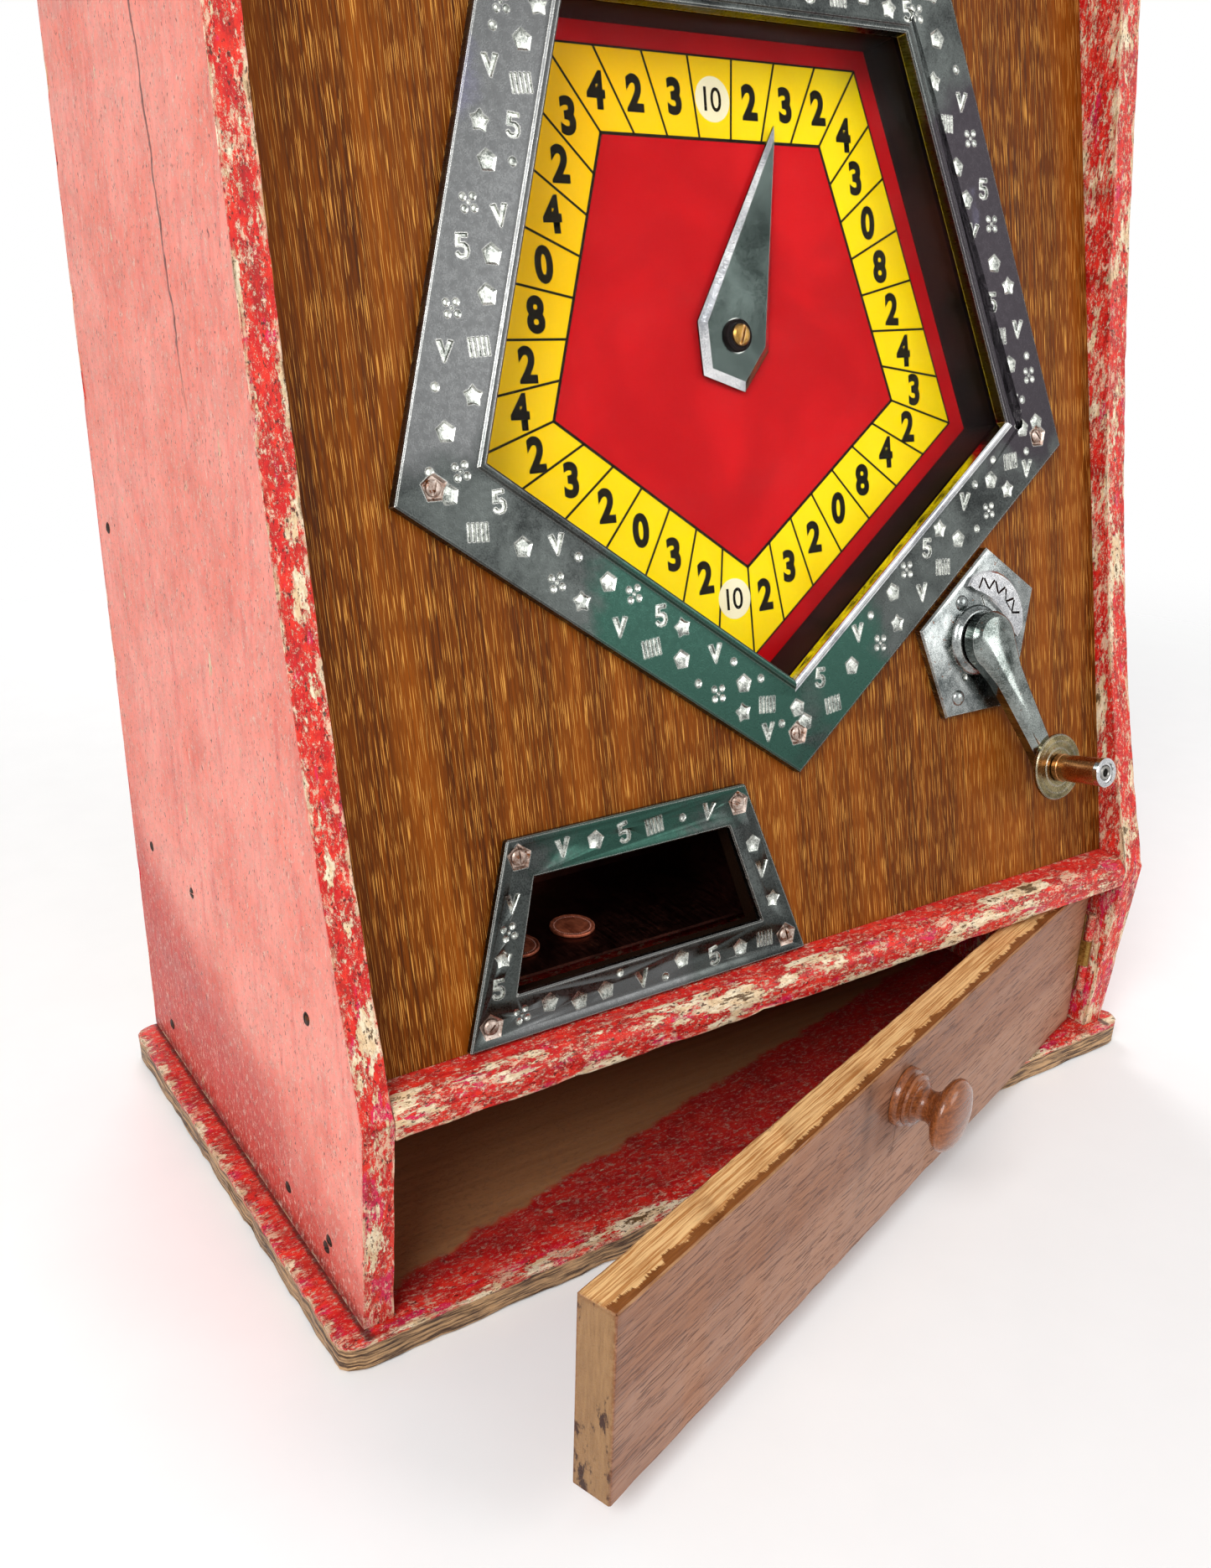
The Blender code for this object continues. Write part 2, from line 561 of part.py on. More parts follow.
lock_axis = empty("lock_axis", (LOCK_X, PIN_TO_FACE, LOCK_HEIGHT), (math.radians(90), 0, 0), back_axis)


# ---------------------------------------------------------------- case
def front_edge(steps=12):
    """The side board's front edge above the kink: one cubic sweep from the kink to the top."""
    rise = CASE_HEIGHT - KINK_HEIGHT
    points = []
    for step in range(steps + 1):
        t = step / steps
        kink_weight = 2 * t ** 3 - 3 * t ** 2 + 1
        top_weight = -2 * t ** 3 + 3 * t ** 2
        kink_slope = (t ** 3 - 2 * t ** 2 + t) * rise * SIDE_SLOPE_KINK
        top_slope = (t ** 3 - t ** 2) * rise * SIDE_SLOPE_TOP
        y = kink_weight * KINK_FRONT + top_weight * SIDE_TOP_FRONT + kink_slope + top_slope
        points.append((y, KINK_HEIGHT + rise * t))
    return points


def side_board(name, inner_face, outward):
    outline = [(SIDE_FOOT_FRONT, BASE_THICKNESS + GAP), *front_edge(), (REAR, CASE_HEIGHT),
               (REAR, BASE_THICKNESS + GAP)]
    near, far = sorted((inner_face, inner_face + outward * SIDE_THICKNESS))
    return plate(name, RED_PAINT, [outline], near, far, parent=upright)


def rounded_rectangle(half_width, half_depth, radius, steps=4):
    points = []
    for quarter, (x, y) in enumerate(((1, 1), (-1, 1), (-1, -1), (1, -1))):
        for step in range(steps + 1):
            turn = math.pi / 2 * (quarter + step / steps)
            points.append((x * (half_width - radius) + radius * math.cos(turn),
                           y * (half_depth - radius) + radius * math.sin(turn)))
    return points


def case():
    half = INNER_WIDTH / 2
    base = plate("base_board", RED_PAINT,
                 [rounded_rectangle(BASE_WIDTH / 2, BASE_DEPTH / 2, BASE_CORNER)], 0, BASE_THICKNESS)
    bevel(base, BASE_BEVEL, 1, 60)
    side_board("left_side", -half, -1)
    right = side_board("right_side", half, 1)
    mortise_x = BACK_PIN[0] - LOCK_X + CAM_LENGTH + MORTISE_END_GAP
    cut(right, box("lock_mortise", None,
                   (half - OVERLAP, BACK_INNER_FACE - CAM_THICKNESS - MORTISE_SIDE_GAP,
                    LOCK_HEIGHT - MORTISE_HALF_HEIGHT),
                   (mortise_x, BACK_INNER_FACE + MORTISE_SIDE_GAP, LOCK_HEIGHT + MORTISE_HALF_HEIGHT)))

    clear = half - GAP
    shelf_outline = [(KINK_FRONT, SHELF_BOTTOM), (BACK_OUTER_FACE, SHELF_BOTTOM),
                     (BACK_OUTER_FACE, SHELF_TOP)]
    nose_steps = 5
    for step in range(nose_steps + 1):
        turn = math.pi / 2 * (1 + step / nose_steps)
        shelf_outline.append((KINK_FRONT + SHELF_NOSE * (1 + math.cos(turn)),
                              SHELF_TOP - SHELF_NOSE * (1 - math.sin(turn))))
    shelf = plate("shelf", RED_PAINT, [shelf_outline], -clear, clear, parent=upright)
    hole_left = -half + DROP_HOLE_INSET
    cut(shelf, box("coin_drop_hole", None,
                   (hole_left, DROP_Y - DROP_HOLE_HALF_DEPTH, SHELF_BOTTOM - THROUGH),
                   (hole_left + DROP_HOLE_WIDTH, DROP_Y + DROP_HOLE_HALF_DEPTH, SHELF_TOP + THROUGH)))

    box("compartment_back", PLYWOOD, (-clear, BACK_INNER_FACE, BASE_THICKNESS + GAP),
        (clear, BACK_OUTER_FACE, SHELF_BOTTOM - GAP))
    top = box("top_board", RED_PAINT, (-CASE_WIDTH / 2 - TOP_OVERHANG, SIDE_TOP_FRONT - TOP_OVERHANG,
                                       CASE_HEIGHT + GAP),
              (CASE_WIDTH / 2 + TOP_OVERHANG, REAR, CASE_HEIGHT + GAP + TOP_THICKNESS))
    bevel(top, TOP_BEVEL, 2)


def slot_positions():
    return [SLOT_SPACING * (place - (SLOT_COUNT - 1) / 2) for place in range(SLOT_COUNT)]


def front_panel():
    depth = PANEL_THICKNESS / math.cos(PANEL_LEAN)
    clear = INNER_WIDTH / 2 - GAP
    panel = box("front_panel", OAK, (-clear, 0, SHELF_TOP + GAP - DIAL_HEIGHT),
                (clear, depth, CASE_HEIGHT - DIAL_HEIGHT), location=(0, DIAL_Y, DIAL_HEIGHT), lean=PANEL_LEAN)
    low = -PANEL_THICKNESS - THROUGH
    high = THROUGH
    cut(panel, plate("dial_hole", None, [pentagon(PANEL_HOLE)], low, high, parent=panel_frame))
    margin = PAYOUT_HOLE_MARGIN
    cut(panel, plate("payout_hole", None,
                     [trapezoid(PAYOUT_CENTRE, OPEN_TOP + margin, OPEN_BOTTOM - margin,
                                PAYOUT_OPEN_TOP_WIDTH + 2 * margin, PAYOUT_OPEN_BOTTOM_WIDTH + 2 * margin)],
                     low, high, parent=panel_frame))
    cut(panel, rod("crank_hole", None, SHAFT_RADIUS + FIT + BUSH_WALL + FIT, low, high,
                   parent=panel_frame, location=(CRANK_X, CRANK_V, 0)))
    for place, x in enumerate(slot_positions()):
        wide = SLOT_WIDTH / 2 + SLOT_WAY_MARGIN
        tall = SLOT_LENGTH / 2 + SLOT_WAY_MARGIN
        cut(panel, box(f"coin_way_{place}", None, (x - wide, SLOT_HEIGHT - tall, low),
                       (x + wide, SLOT_HEIGHT + tall, high), parent=panel_frame))
    screw_places = [*frame_screw_places(), *payout_screw_places(), *escutcheon_screw_places()]
    for place, (x, v) in enumerate(screw_places):
        cut(panel, rod(f"pilot_hole_{place}", None, SCREW_RADIUS + FIT, low, high, x, v,
                       parent=panel_frame, sides=12))


# ---------------------------------------------------------------- dial
def frame_screw_places():
    return pentagon((FRAME_RADIUS + OPENING_RADIUS) / 2 + FRAME_SCREW_OUT)


def dial():
    point_down = (0, 0, -math.pi / 2)
    top = GAP + FRAME_THICKNESS
    lip = FRAME_LIP
    frame = turned("dial_frame", CHROME,
                   [(OPENING_RADIUS, top), (OPENING_RADIUS + lip, top + lip),
                    (OPENING_RADIUS + 3 * lip, top + lip), (OPENING_RADIUS + 4 * lip, top),
                    (FRAME_RADIUS - lip, top), (FRAME_RADIUS, top - lip), (FRAME_RADIUS, GAP),
                    (OPENING_RADIUS, GAP)],
                   steps=5, closed=True, rotation=point_down, parent=panel_frame)
    off_corner = (0, 0, math.radians(7))    # keeps the holes' edges off the frame's mitre lines
    for place, (x, v) in enumerate(frame_screw_places()):
        cut(frame, rod(f"frame_hole_{place}", None, SCREW_RADIUS + FIT, -THROUGH, top + THROUGH,
                       parent=panel_frame, sides=12, location=(x, v, 0), rotation=off_corner))
        slotted_screw(f"dial_frame_screw_{place + 1}", STEEL, x, v, top, panel_frame, turn=0.7 * place)

    plate("dial_glass", GLASS, [pentagon(WELL_OUTER)], -GAP - GLASS_THICKNESS, -GAP, parent=panel_frame)
    front = -2 * GAP - GLASS_THICKNESS
    back = -DIAL_DEPTH + GAP
    flange_back = PANEL_BACK - WELL_FLANGE_THICKNESS
    turned("dial_well", BLACK,
           [(WELL_RADIUS, front), (WELL_OUTER, front), (WELL_OUTER, PANEL_BACK), (WELL_FLANGE, PANEL_BACK),
            (WELL_FLANGE, flange_back), (WELL_OUTER, flange_back), (WELL_OUTER, back),
            (WELL_RADIUS, back)],
           steps=5, closed=True, rotation=point_down, parent=panel_frame)
    plate("dial_plate", DIAL_RED, [pentagon(DIAL_RADIUS), circle(DIAL_BORE)],
          -DIAL_DEPTH - DIAL_THICKNESS, -DIAL_DEPTH, parent=panel_frame)


def pointer():
    low = -DIAL_DEPTH + POINTER_OVER_DIAL
    high = low + POINTER_THICKNESS
    kite = [(0, POINTER_TIP), (-POINTER_HALF_WIDTH, 0), (-POINTER_TAIL_HALF_WIDTH, -POINTER_TAIL),
            (POINTER_TAIL_HALF_WIDTH, -POINTER_TAIL), (POINTER_HALF_WIDTH, 0)]
    blade = plate("pointer", CHROME, [kite, circle(SPINDLE_RADIUS + FIT, sides=16)], low, high,
                  parent=pointer_axis)
    hub_top = high + POINTER_HUB_HEIGHT
    hub = turned("pointer_hub", None,
                 [(SPINDLE_RADIUS + FIT, hub_top), (POINTER_HUB_RADIUS, hub_top),
                  (POINTER_HUB_RADIUS, high - OVERLAP), (SPINDLE_RADIUS + FIT, high - OVERLAP)],
                 steps=16, closed=True, parent=pointer_axis)
    join(blade, hub)

    end = hub_top - GAP
    spindle = rod("pointer_spindle", STEEL, SPINDLE_RADIUS, BRIDGE_BACK - SPINDLE_TAIL, end,
                  parent=pointer_axis, sides=16)
    cut(spindle, rod("spindle_bore", None, CAP_SHANK_RADIUS + FIT, end - SPINDLE_BORE_DEPTH,
                     end + THROUGH, parent=pointer_axis, sides=12))
    head_low = hub_top + GAP
    head_high = head_low + CAP_HEIGHT
    shank_end = head_low - CAP_SHANK_LENGTH
    cap = turned("pointer_screw", BRASS,
                 [(0, head_high), (0.7 * CAP_RADIUS, head_high), (CAP_RADIUS, head_high - CAP_EDGE),
                  (CAP_RADIUS, head_low), (CAP_SHANK_RADIUS, head_low), (CAP_SHANK_RADIUS, shank_end),
                  (0, shank_end)],
                 steps=16, parent=pointer_axis)
    cut(cap, box("pointer_screw_slot", None, (-2 * CAP_RADIUS, -CAP_SLOT_WIDTH / 2, head_high - CAP_EDGE),
                 (2 * CAP_RADIUS, CAP_SLOT_WIDTH / 2, head_high + THROUGH), parent=pointer_axis,
                 rotation=(0, 0, CAP_SLOT_TURN)))


# ---------------------------------------------------------------- gear train behind the dial
def gear_outline(teeth, phase):
    """Straight-flanked teeth; the first one points along phase."""
    pitch = GEAR_MODULE * teeth / 2
    tip = pitch + TOOTH_HEIGHT * GEAR_MODULE
    root = pitch - TOOTH_DEPTH * GEAR_MODULE
    at_tip, at_root = TOOTH_FLANKS
    step = 2 * math.pi / teeth
    points = []
    for tooth in range(teeth):
        for offset, radius in ((-at_root, root), (-at_tip, tip), (at_tip, tip), (at_root, root)):
            turn = phase + step * (tooth + offset)
            points.append((radius * math.cos(turn), radius * math.sin(turn)))
    return points


def gear(name, teeth, phase, bore, hub_radius, hub_end, parent):
    wheel = plate(name, STEEL, [gear_outline(teeth, phase), circle(bore, sides=16)],
                  GEAR_BACK, GEAR_FRONT, parent=parent)
    inside = GEAR_BACK + OVERLAP
    join(wheel, turned(name + "_hub", None,
                       [(bore, inside), (hub_radius, inside), (hub_radius, hub_end), (bore, hub_end)],
                       steps=16, closed=True, parent=parent))


def gear_train():
    towards_pointer = CRANK_BEARING + math.pi
    half_tooth = math.pi / IDLER_TEETH
    spindle_bore = SPINDLE_RADIUS + FIT
    seat = BRIDGE_FRONT + GAP
    flange_top = seat + SPINDLE_BUSH_FLANGE
    gear("crank_gear", CRANK_TEETH, towards_pointer - CRANK_REST, SHAFT_RADIUS + FIT,
         CRANK_HUB_RADIUS, seat, crank_axis)
    gear("idler_gear", IDLER_TEETH, CRANK_BEARING + half_tooth, spindle_bore,
         WHEEL_HUB_RADIUS, seat, idler_axis)
    gear("pointer_gear", POINTER_TEETH, CRANK_BEARING - POINTER_REST, spindle_bore,
         WHEEL_HUB_RADIUS, flange_top + GAP, pointer_axis)

    bush_radius = spindle_bore + SPINDLE_BUSH_WALL
    bush_foot = BRIDGE_BACK - SPINDLE_BUSH_FLANGE
    turned("spindle_bush", BRASS,
           [(spindle_bore, flange_top), (bush_radius + SPINDLE_BUSH_FLANGE, flange_top),
            (bush_radius + SPINDLE_BUSH_FLANGE, seat), (bush_radius, seat), (bush_radius, bush_foot),
            (spindle_bore, bush_foot)],
           steps=16, closed=True, parent=panel_frame)
    stud_end = GEAR_FRONT + STUD_FRONT
    head_front = BRIDGE_BACK - GAP
    head_back = BRIDGE_BACK - STUD_HEAD_HEIGHT
    turned("idler_stud", STEEL,
           [(0, stud_end), (SPINDLE_RADIUS, stud_end), (SPINDLE_RADIUS, head_front),
            (STUD_HEAD_RADIUS, head_front), (STUD_HEAD_RADIUS, head_back), (0, head_back)],
           steps=16, parent=idler_axis)

    crank_gear_tip = GEAR_MODULE * (CRANK_TEETH / 2 + TOOTH_HEIGHT)
    far = CRANK_DISTANCE + crank_gear_tip + BRIDGE_CLEARANCE
    near = -(WELL_FLANGE + BRIDGE_CLEARANCE)
    foot_back = PANEL_BACK - BRIDGE_THICKNESS
    hat = [(near - BRIDGE_FOOT, PANEL_BACK), (near, PANEL_BACK), (near, BRIDGE_FRONT),
           (far, BRIDGE_FRONT), (far, PANEL_BACK), (far + BRIDGE_FOOT, PANEL_BACK),
           (far + BRIDGE_FOOT, foot_back), (far + BRIDGE_THICKNESS, foot_back),
           (far + BRIDGE_THICKNESS, BRIDGE_BACK), (near - BRIDGE_THICKNESS, BRIDGE_BACK),
           (near - BRIDGE_THICKNESS, foot_back), (near - BRIDGE_FOOT, foot_back)]
    along = empty("bridge_frame", (0, 0, 0), (0, 0, CRANK_BEARING), panel_frame)
    across = empty("bridge_profile_frame", (0, 0, 0), (math.radians(90), 0, 0), along)
    bridge = plate("gear_bridge", STEEL, [hat], -BRIDGE_WIDTH / 2, BRIDGE_WIDTH / 2, parent=across)
    for name, place, radius in (("shaft_way", CRANK_DISTANCE, SHAFT_RADIUS + FIT),
                                ("stud_way", POINTER_TO_IDLER, spindle_bore),
                                ("bush_way", 0.0, bush_radius + FIT)):
        cut(bridge, rod(name, None, radius, BRIDGE_BACK - THROUGH, BRIDGE_FRONT + THROUGH, place,
                        parent=along))


# ---------------------------------------------------------------- crank
def escutcheon_outline():
    """A long five-sided plate: the angles of a regular pentagon, two sides longer and one shorter."""
    x, v = ESCUTCHEON_CORNER
    tip_side = 2 * (ESCUTCHEON_SHORT_SIDE * math.sin(1.5 * EDGE_ANGLE)
                    - ESCUTCHEON_LONG_SIDE * math.cos(FIFTH))
    sides = ((EDGE_ANGLE, ESCUTCHEON_LONG_SIDE), (EDGE_ANGLE - FIFTH, tip_side),
             (EDGE_ANGLE - 2 * FIFTH, ESCUTCHEON_LONG_SIDE), (math.pi, ESCUTCHEON_SHORT_SIDE))
    points = [(x, v)]
    for turn, length in sides:
        x += length * math.cos(turn)
        v += length * math.sin(turn)
        points.append((x, v))
    return points


def escutcheon_screw_places():
    return [on_edge(ESCUTCHEON_ALONG + along, ESCUTCHEON_TO_FRAME + out) for along, out in ESCUTCHEON_SCREWS]


def crescent_outline(steps=10):
    """A raised crescent about the crank axis, on the escutcheon's far corner."""
    points = []
    for step in range(2 * steps):
        share = step / steps if step < steps else 2 - step / steps
        side = 1 if step < steps else -1
        turn = CRESCENT_START + (CRESCENT_END - CRESCENT_START) * share
        radius = CRESCENT_RADIUS + side * CRESCENT_HALF_WIDTH * math.sqrt(math.sin(math.pi * share))
        points.append((radius * math.cos(turn), radius * math.sin(turn)))
    return points


def arc(radius, x, start, end, steps=4):
    """Points on an arc centred on the X axis; its angles are in degrees."""
    turns = [math.radians(start + (end - start) * step / steps) for step in range(steps + 1)]
    return [(x + radius * math.cos(turn), radius * math.sin(turn)) for turn in turns]


def crank():
    top = GAP + ESCUTCHEON_THICKNESS
    bush_radius = SHAFT_RADIUS + FIT + BUSH_WALL
    holes = [circle(SCREW_RADIUS + FIT, x, v, 12) for x, v in escutcheon_screw_places()]
    shield = plate("escutcheon", CHROME, [escutcheon_outline(), *holes], GAP, top, parent=panel_frame)
    boss_top = ARM_BACK - BOSS_TO_ARM
    inside = top - OVERLAP
    on_shaft = {"location": (CRANK_X, CRANK_V, 0), "parent": panel_frame}
    join(shield,
         turned("shaft_boss", None, [(0, boss_top), (BOSS_RADIUS, boss_top), (BOSS_FOOT_RADIUS, inside),
                                     (0, inside)], **on_shaft),
         plate("crescent", None, [crescent_outline()], inside, top + CRESCENT_HEIGHT, **on_shaft))
    cut(shield, rod("escutcheon_bush_way", None, bush_radius + FIT, -THROUGH, boss_top + THROUGH, **on_shaft))
    for place, (x, v) in enumerate(escutcheon_screw_places()):
        slotted_screw(f"escutcheon_screw_{place + 1}", STEEL, x, v, top, panel_frame, turn=0.5 + place)

    flange_back = PANEL_BACK - BUSH_FLANGE_THICKNESS
    turned("crank_bush", BRASS,
           [(SHAFT_RADIUS + FIT, boss_top - GAP), (bush_radius, boss_top - GAP), (bush_radius, PANEL_BACK),
            (bush_radius + BUSH_FLANGE, PANEL_BACK), (bush_radius + BUSH_FLANGE, flange_back),
            (SHAFT_RADIUS + FIT, flange_back)],
           closed=True, **on_shaft)

    arm_top = ARM_BACK + ARM_THICKNESS
    socket = arm_top - SOCKET_ROOF
    hub_end = arc(ARM_HUB_RADIUS, 0, 70, 290)
    pin_end = arc(ARM_END_RADIUS, CRANK_LENGTH, -70, 70)
    waist = (ARM_WAIST * CRANK_LENGTH, ARM_END_RADIUS + ARM_WAIST_EXTRA)
    outline = [*hub_end, (waist[0], -waist[1]), *pin_end, waist]
    arm = plate("crank_arm", CHROME, [outline], ARM_BACK, arm_top, parent=crank_axis)
    bevel(arm, ARM_BEVEL, 1)
    low = ARM_BACK - THROUGH
    cut(arm, rod("shaft_socket", None, SHAFT_RADIUS + FIT, low, socket, parent=crank_axis),
        rod("pin_way", None, GRIP_PIN_RADIUS + FIT, low, arm_top + THROUGH, parent=grip_axis),
        solver="MANIFOLD")
    rod("crank_shaft", STEEL, SHAFT_RADIUS, BRIDGE_BACK, socket - GAP, parent=crank_axis)

    disc_low = arm_top + GAP
    disc_high = disc_low + DISC_THICKNESS
    grip_low = disc_high + GAP
    grip_high = grip_low + GRIP_LENGTH
    for name, radius, low, high, steps in (("crank_disc", DISC_RADIUS, disc_low, disc_high, 32),
                                           ("grip_sleeve", GRIP_RADIUS, grip_low, grip_high, 24)):
        turned(name, BRASS,
               [(GRIP_PIN_RADIUS + FIT, high), (radius - GRIP_EDGE, high), (radius, high - GRIP_EDGE),
                (radius, low), (GRIP_PIN_RADIUS + FIT, low)],
               steps=steps, closed=True, parent=grip_axis)
    pin_top = grip_high - PIN_END_INSET
    pin = rod("grip_pin", STEEL, GRIP_PIN_RADIUS, ARM_BACK + PIN_END_INSET, pin_top, parent=grip_axis)
    cut(pin, rod("pin_dimple", None, DIMPLE_RADIUS, pin_top - DIMPLE_DEPTH, pin_top + THROUGH,
                 parent=grip_axis, sides=12))


# ---------------------------------------------------------------- payout
def payout_screw_places():
    places = []
    for v, half in ((PAYOUT_TOP - TOP_SCREW_INSET[1], PAYOUT_TOP_WIDTH / 2 - TOP_SCREW_INSET[0]),
                    (PAYOUT_BOTTOM + BOTTOM_SCREW_INSET[1], PAYOUT_BOTTOM_WIDTH / 2 - BOTTOM_SCREW_INSET[0])):
        places.append((PAYOUT_CENTRE - half, v))
        places.append((PAYOUT_CENTRE + half, v))
    return places


def payout():
    holes = [circle(SCREW_RADIUS + FIT, x, v, 12) for x, v in payout_screw_places()]
    top = GAP + PAYOUT_THICKNESS
    outer = trapezoid(PAYOUT_CENTRE, PAYOUT_TOP, PAYOUT_BOTTOM, PAYOUT_TOP_WIDTH, PAYOUT_BOTTOM_WIDTH)
    opening = trapezoid(PAYOUT_CENTRE, OPEN_TOP, OPEN_BOTTOM, PAYOUT_OPEN_TOP_WIDTH, PAYOUT_OPEN_BOTTOM_WIDTH)
    surround = plate("payout_frame", CHROME, [outer, opening, *holes], GAP, top, parent=panel_frame)
    bevel(surround, PAYOUT_BEVEL, 1, 60)
    for place, (x, v) in enumerate(payout_screw_places()):
        slotted_screw(f"payout_screw_{place + 1}", STEEL, x, v, top, panel_frame, turn=0.4 + 0.8 * place)

    half = PAYOUT_OPEN_BOTTOM_WIDTH / 2 + TRAY_SIDE
    low = TRAY_Z - TRAY_WALL
    high = TRAY_Z + TRAY_HEIGHT
    outline = [(panel_back_y(low) + GAP, low), (TRAY_REAR, low), (TRAY_REAR, high),
               (panel_back_y(high) + GAP, high)]
    tray = plate("payout_tray", TRAY_STEEL, [outline], PAYOUT_X - half, PAYOUT_X + half, parent=upright)
    cut(tray, box("tray_hollow", None,
                  (PAYOUT_X - half + TRAY_WALL, panel_back_y(low) - 3 * THROUGH, TRAY_Z),
                  (PAYOUT_X + half - TRAY_WALL, TRAY_REAR - TRAY_WALL, high + THROUGH)),
        box("tray_coin_way", None,
            (PAYOUT_X - COIN_WAY_HALF_WIDTH, TRAY_REAR - THROUGH, CHANNEL_Z - COIN_WAY_MARGIN),
            (PAYOUT_X + COIN_WAY_HALF_WIDTH, TRAY_REAR + THROUGH,
             CHANNEL_Z + CHANNEL_HEIGHT + COIN_WAY_MARGIN)))

    for name, x, back in COINS_IN_TRAY:
        turned(name, BRONZE,
               [(0, COIN_THICKNESS), (COIN_RADIUS, COIN_THICKNESS), (COIN_RADIUS, 0), (0, 0)],
               location=(PAYOUT_X + x, panel_back_y(TRAY_Z) + back, TRAY_Z + GAP))
    payout_unit()


def payout_unit():
    """The block behind the tray, with its coin tube and the slide that pushes the lowest coin out."""
    front = TRAY_REAR + GAP
    rear = front + BLOCK_LENGTH
    channel_top = CHANNEL_Z + CHANNEL_HEIGHT
    block_top = channel_top + BLOCK_ROOF
    tube_y = front + COIN_BORE + TUBE_FROM_TRAY
    block = box("payout_block", PLYWOOD, (PAYOUT_X - BLOCK_HALF_WIDTH, front, SHELF_TOP + GAP),
                (PAYOUT_X + BLOCK_HALF_WIDTH, rear, block_top))
    cut(block, box("slide_channel", None, (PAYOUT_X - COIN_BORE, front - THROUGH, CHANNEL_Z),
                   (PAYOUT_X + COIN_BORE, rear + THROUGH, channel_top)),
        rod("stack_bore", None, COIN_BORE, CHANNEL_Z + OVERLAP, block_top + THROUGH, PAYOUT_X, tube_y))
    tube_outer = COIN_BORE + COIN_TUBE_WALL
    tube_top = block_top + COIN_TUBE_HEIGHT
    turned("coin_tube", BRASS,
           [(COIN_BORE, tube_top), (tube_outer, tube_top), (tube_outer, block_top + GAP),
            (COIN_BORE, block_top + GAP)],
           closed=True, location=(PAYOUT_X, tube_y, 0))
    slide_rear = rear + SLIDE_TRAVEL + SLIDE_TAIL
    slide = box("payout_slide", STEEL,
                (PAYOUT_X - COIN_BORE + FIT, tube_y + COIN_BORE + SLIDE_START, CHANNEL_Z + FIT),
                (PAYOUT_X + COIN_BORE - FIT, slide_rear, channel_top - FIT))
    cut(slide, rod("slide_hole", None, SLIDE_HOLE_RADIUS, CHANNEL_Z - THROUGH, channel_top + THROUGH,
                   PAYOUT_X, slide_rear - 2 * SLIDE_HOLE_RADIUS, sides=12))


# ---------------------------------------------------------------- coin entry
def coin_entry():
    span = SLOT_SPACING * (SLOT_COUNT - 1)
    half_width = span / 2 + SLOT_PLATE_SIDE
    half_height = SLOT_LENGTH / 2 + SLOT_PLATE_END
    slots = [rectangle(x - SLOT_WIDTH / 2, SLOT_HEIGHT - SLOT_LENGTH / 2, x + SLOT_WIDTH / 2,
                       SLOT_HEIGHT + SLOT_LENGTH / 2) for x in slot_positions()]
    plate("coin_slot_plate", CHROME,
          [rectangle(-half_width, SLOT_HEIGHT - half_height, half_width, SLOT_HEIGHT + half_height), *slots],
          GAP, GAP + SLOT_PLATE_THICKNESS, parent=panel_frame)

    left = -INNER_WIDTH / 2 - DIAL_OFFSET + GAP
    right = span / 2 + TROUGH_END
    wall = CHUTE_WALL
    front = PANEL_BACK - GAP
    high_end = SLOT_HEIGHT - SLOT_LENGTH / 2 - TROUGH_BELOW_SLOTS
    length = (right - left - TROUGH_TO_TUBE) / math.cos(TROUGH_SLOPE)
    mouth = DROP_TUBE_WIDTH + 2 * wall - length
    slope = empty("trough_frame", (right, high_end, 0), (0, 0, TROUGH_SLOPE), panel_frame)
    trough = box("coin_trough", STEEL, (-length, -TROUGH_HEIGHT, CHUTE_BACK), (0, 0, front), parent=slope)
    cut(trough, box("trough_hollow", None, (mouth, wall - TROUGH_HEIGHT, CHUTE_BACK + wall),
                    (-wall, THROUGH, front - wall), parent=slope),
        box("trough_mouth", None, (wall - length, -TROUGH_HEIGHT - THROUGH, CHUTE_BACK + wall),
            (mouth + OVERLAP, THROUGH, front - wall), parent=slope))

    trough_foot = high_end - length * math.sin(TROUGH_SLOPE) - TROUGH_HEIGHT * math.cos(TROUGH_SLOPE)
    lowest = (SHELF_TOP + GAP - DIAL_HEIGHT - CHUTE_BACK * math.sin(PANEL_LEAN)) / math.cos(PANEL_LEAN)
    tube = box("coin_drop_tube", STEEL, (left, lowest, CHUTE_BACK),
               (left + DROP_TUBE_WIDTH, trough_foot - GAP, front), parent=panel_frame)
    cut(tube, box("drop_way", None, (left + wall, lowest - THROUGH, CHUTE_BACK + wall),
                  (left + DROP_TUBE_WIDTH - wall, trough_foot + THROUGH, front - wall), parent=panel_frame))


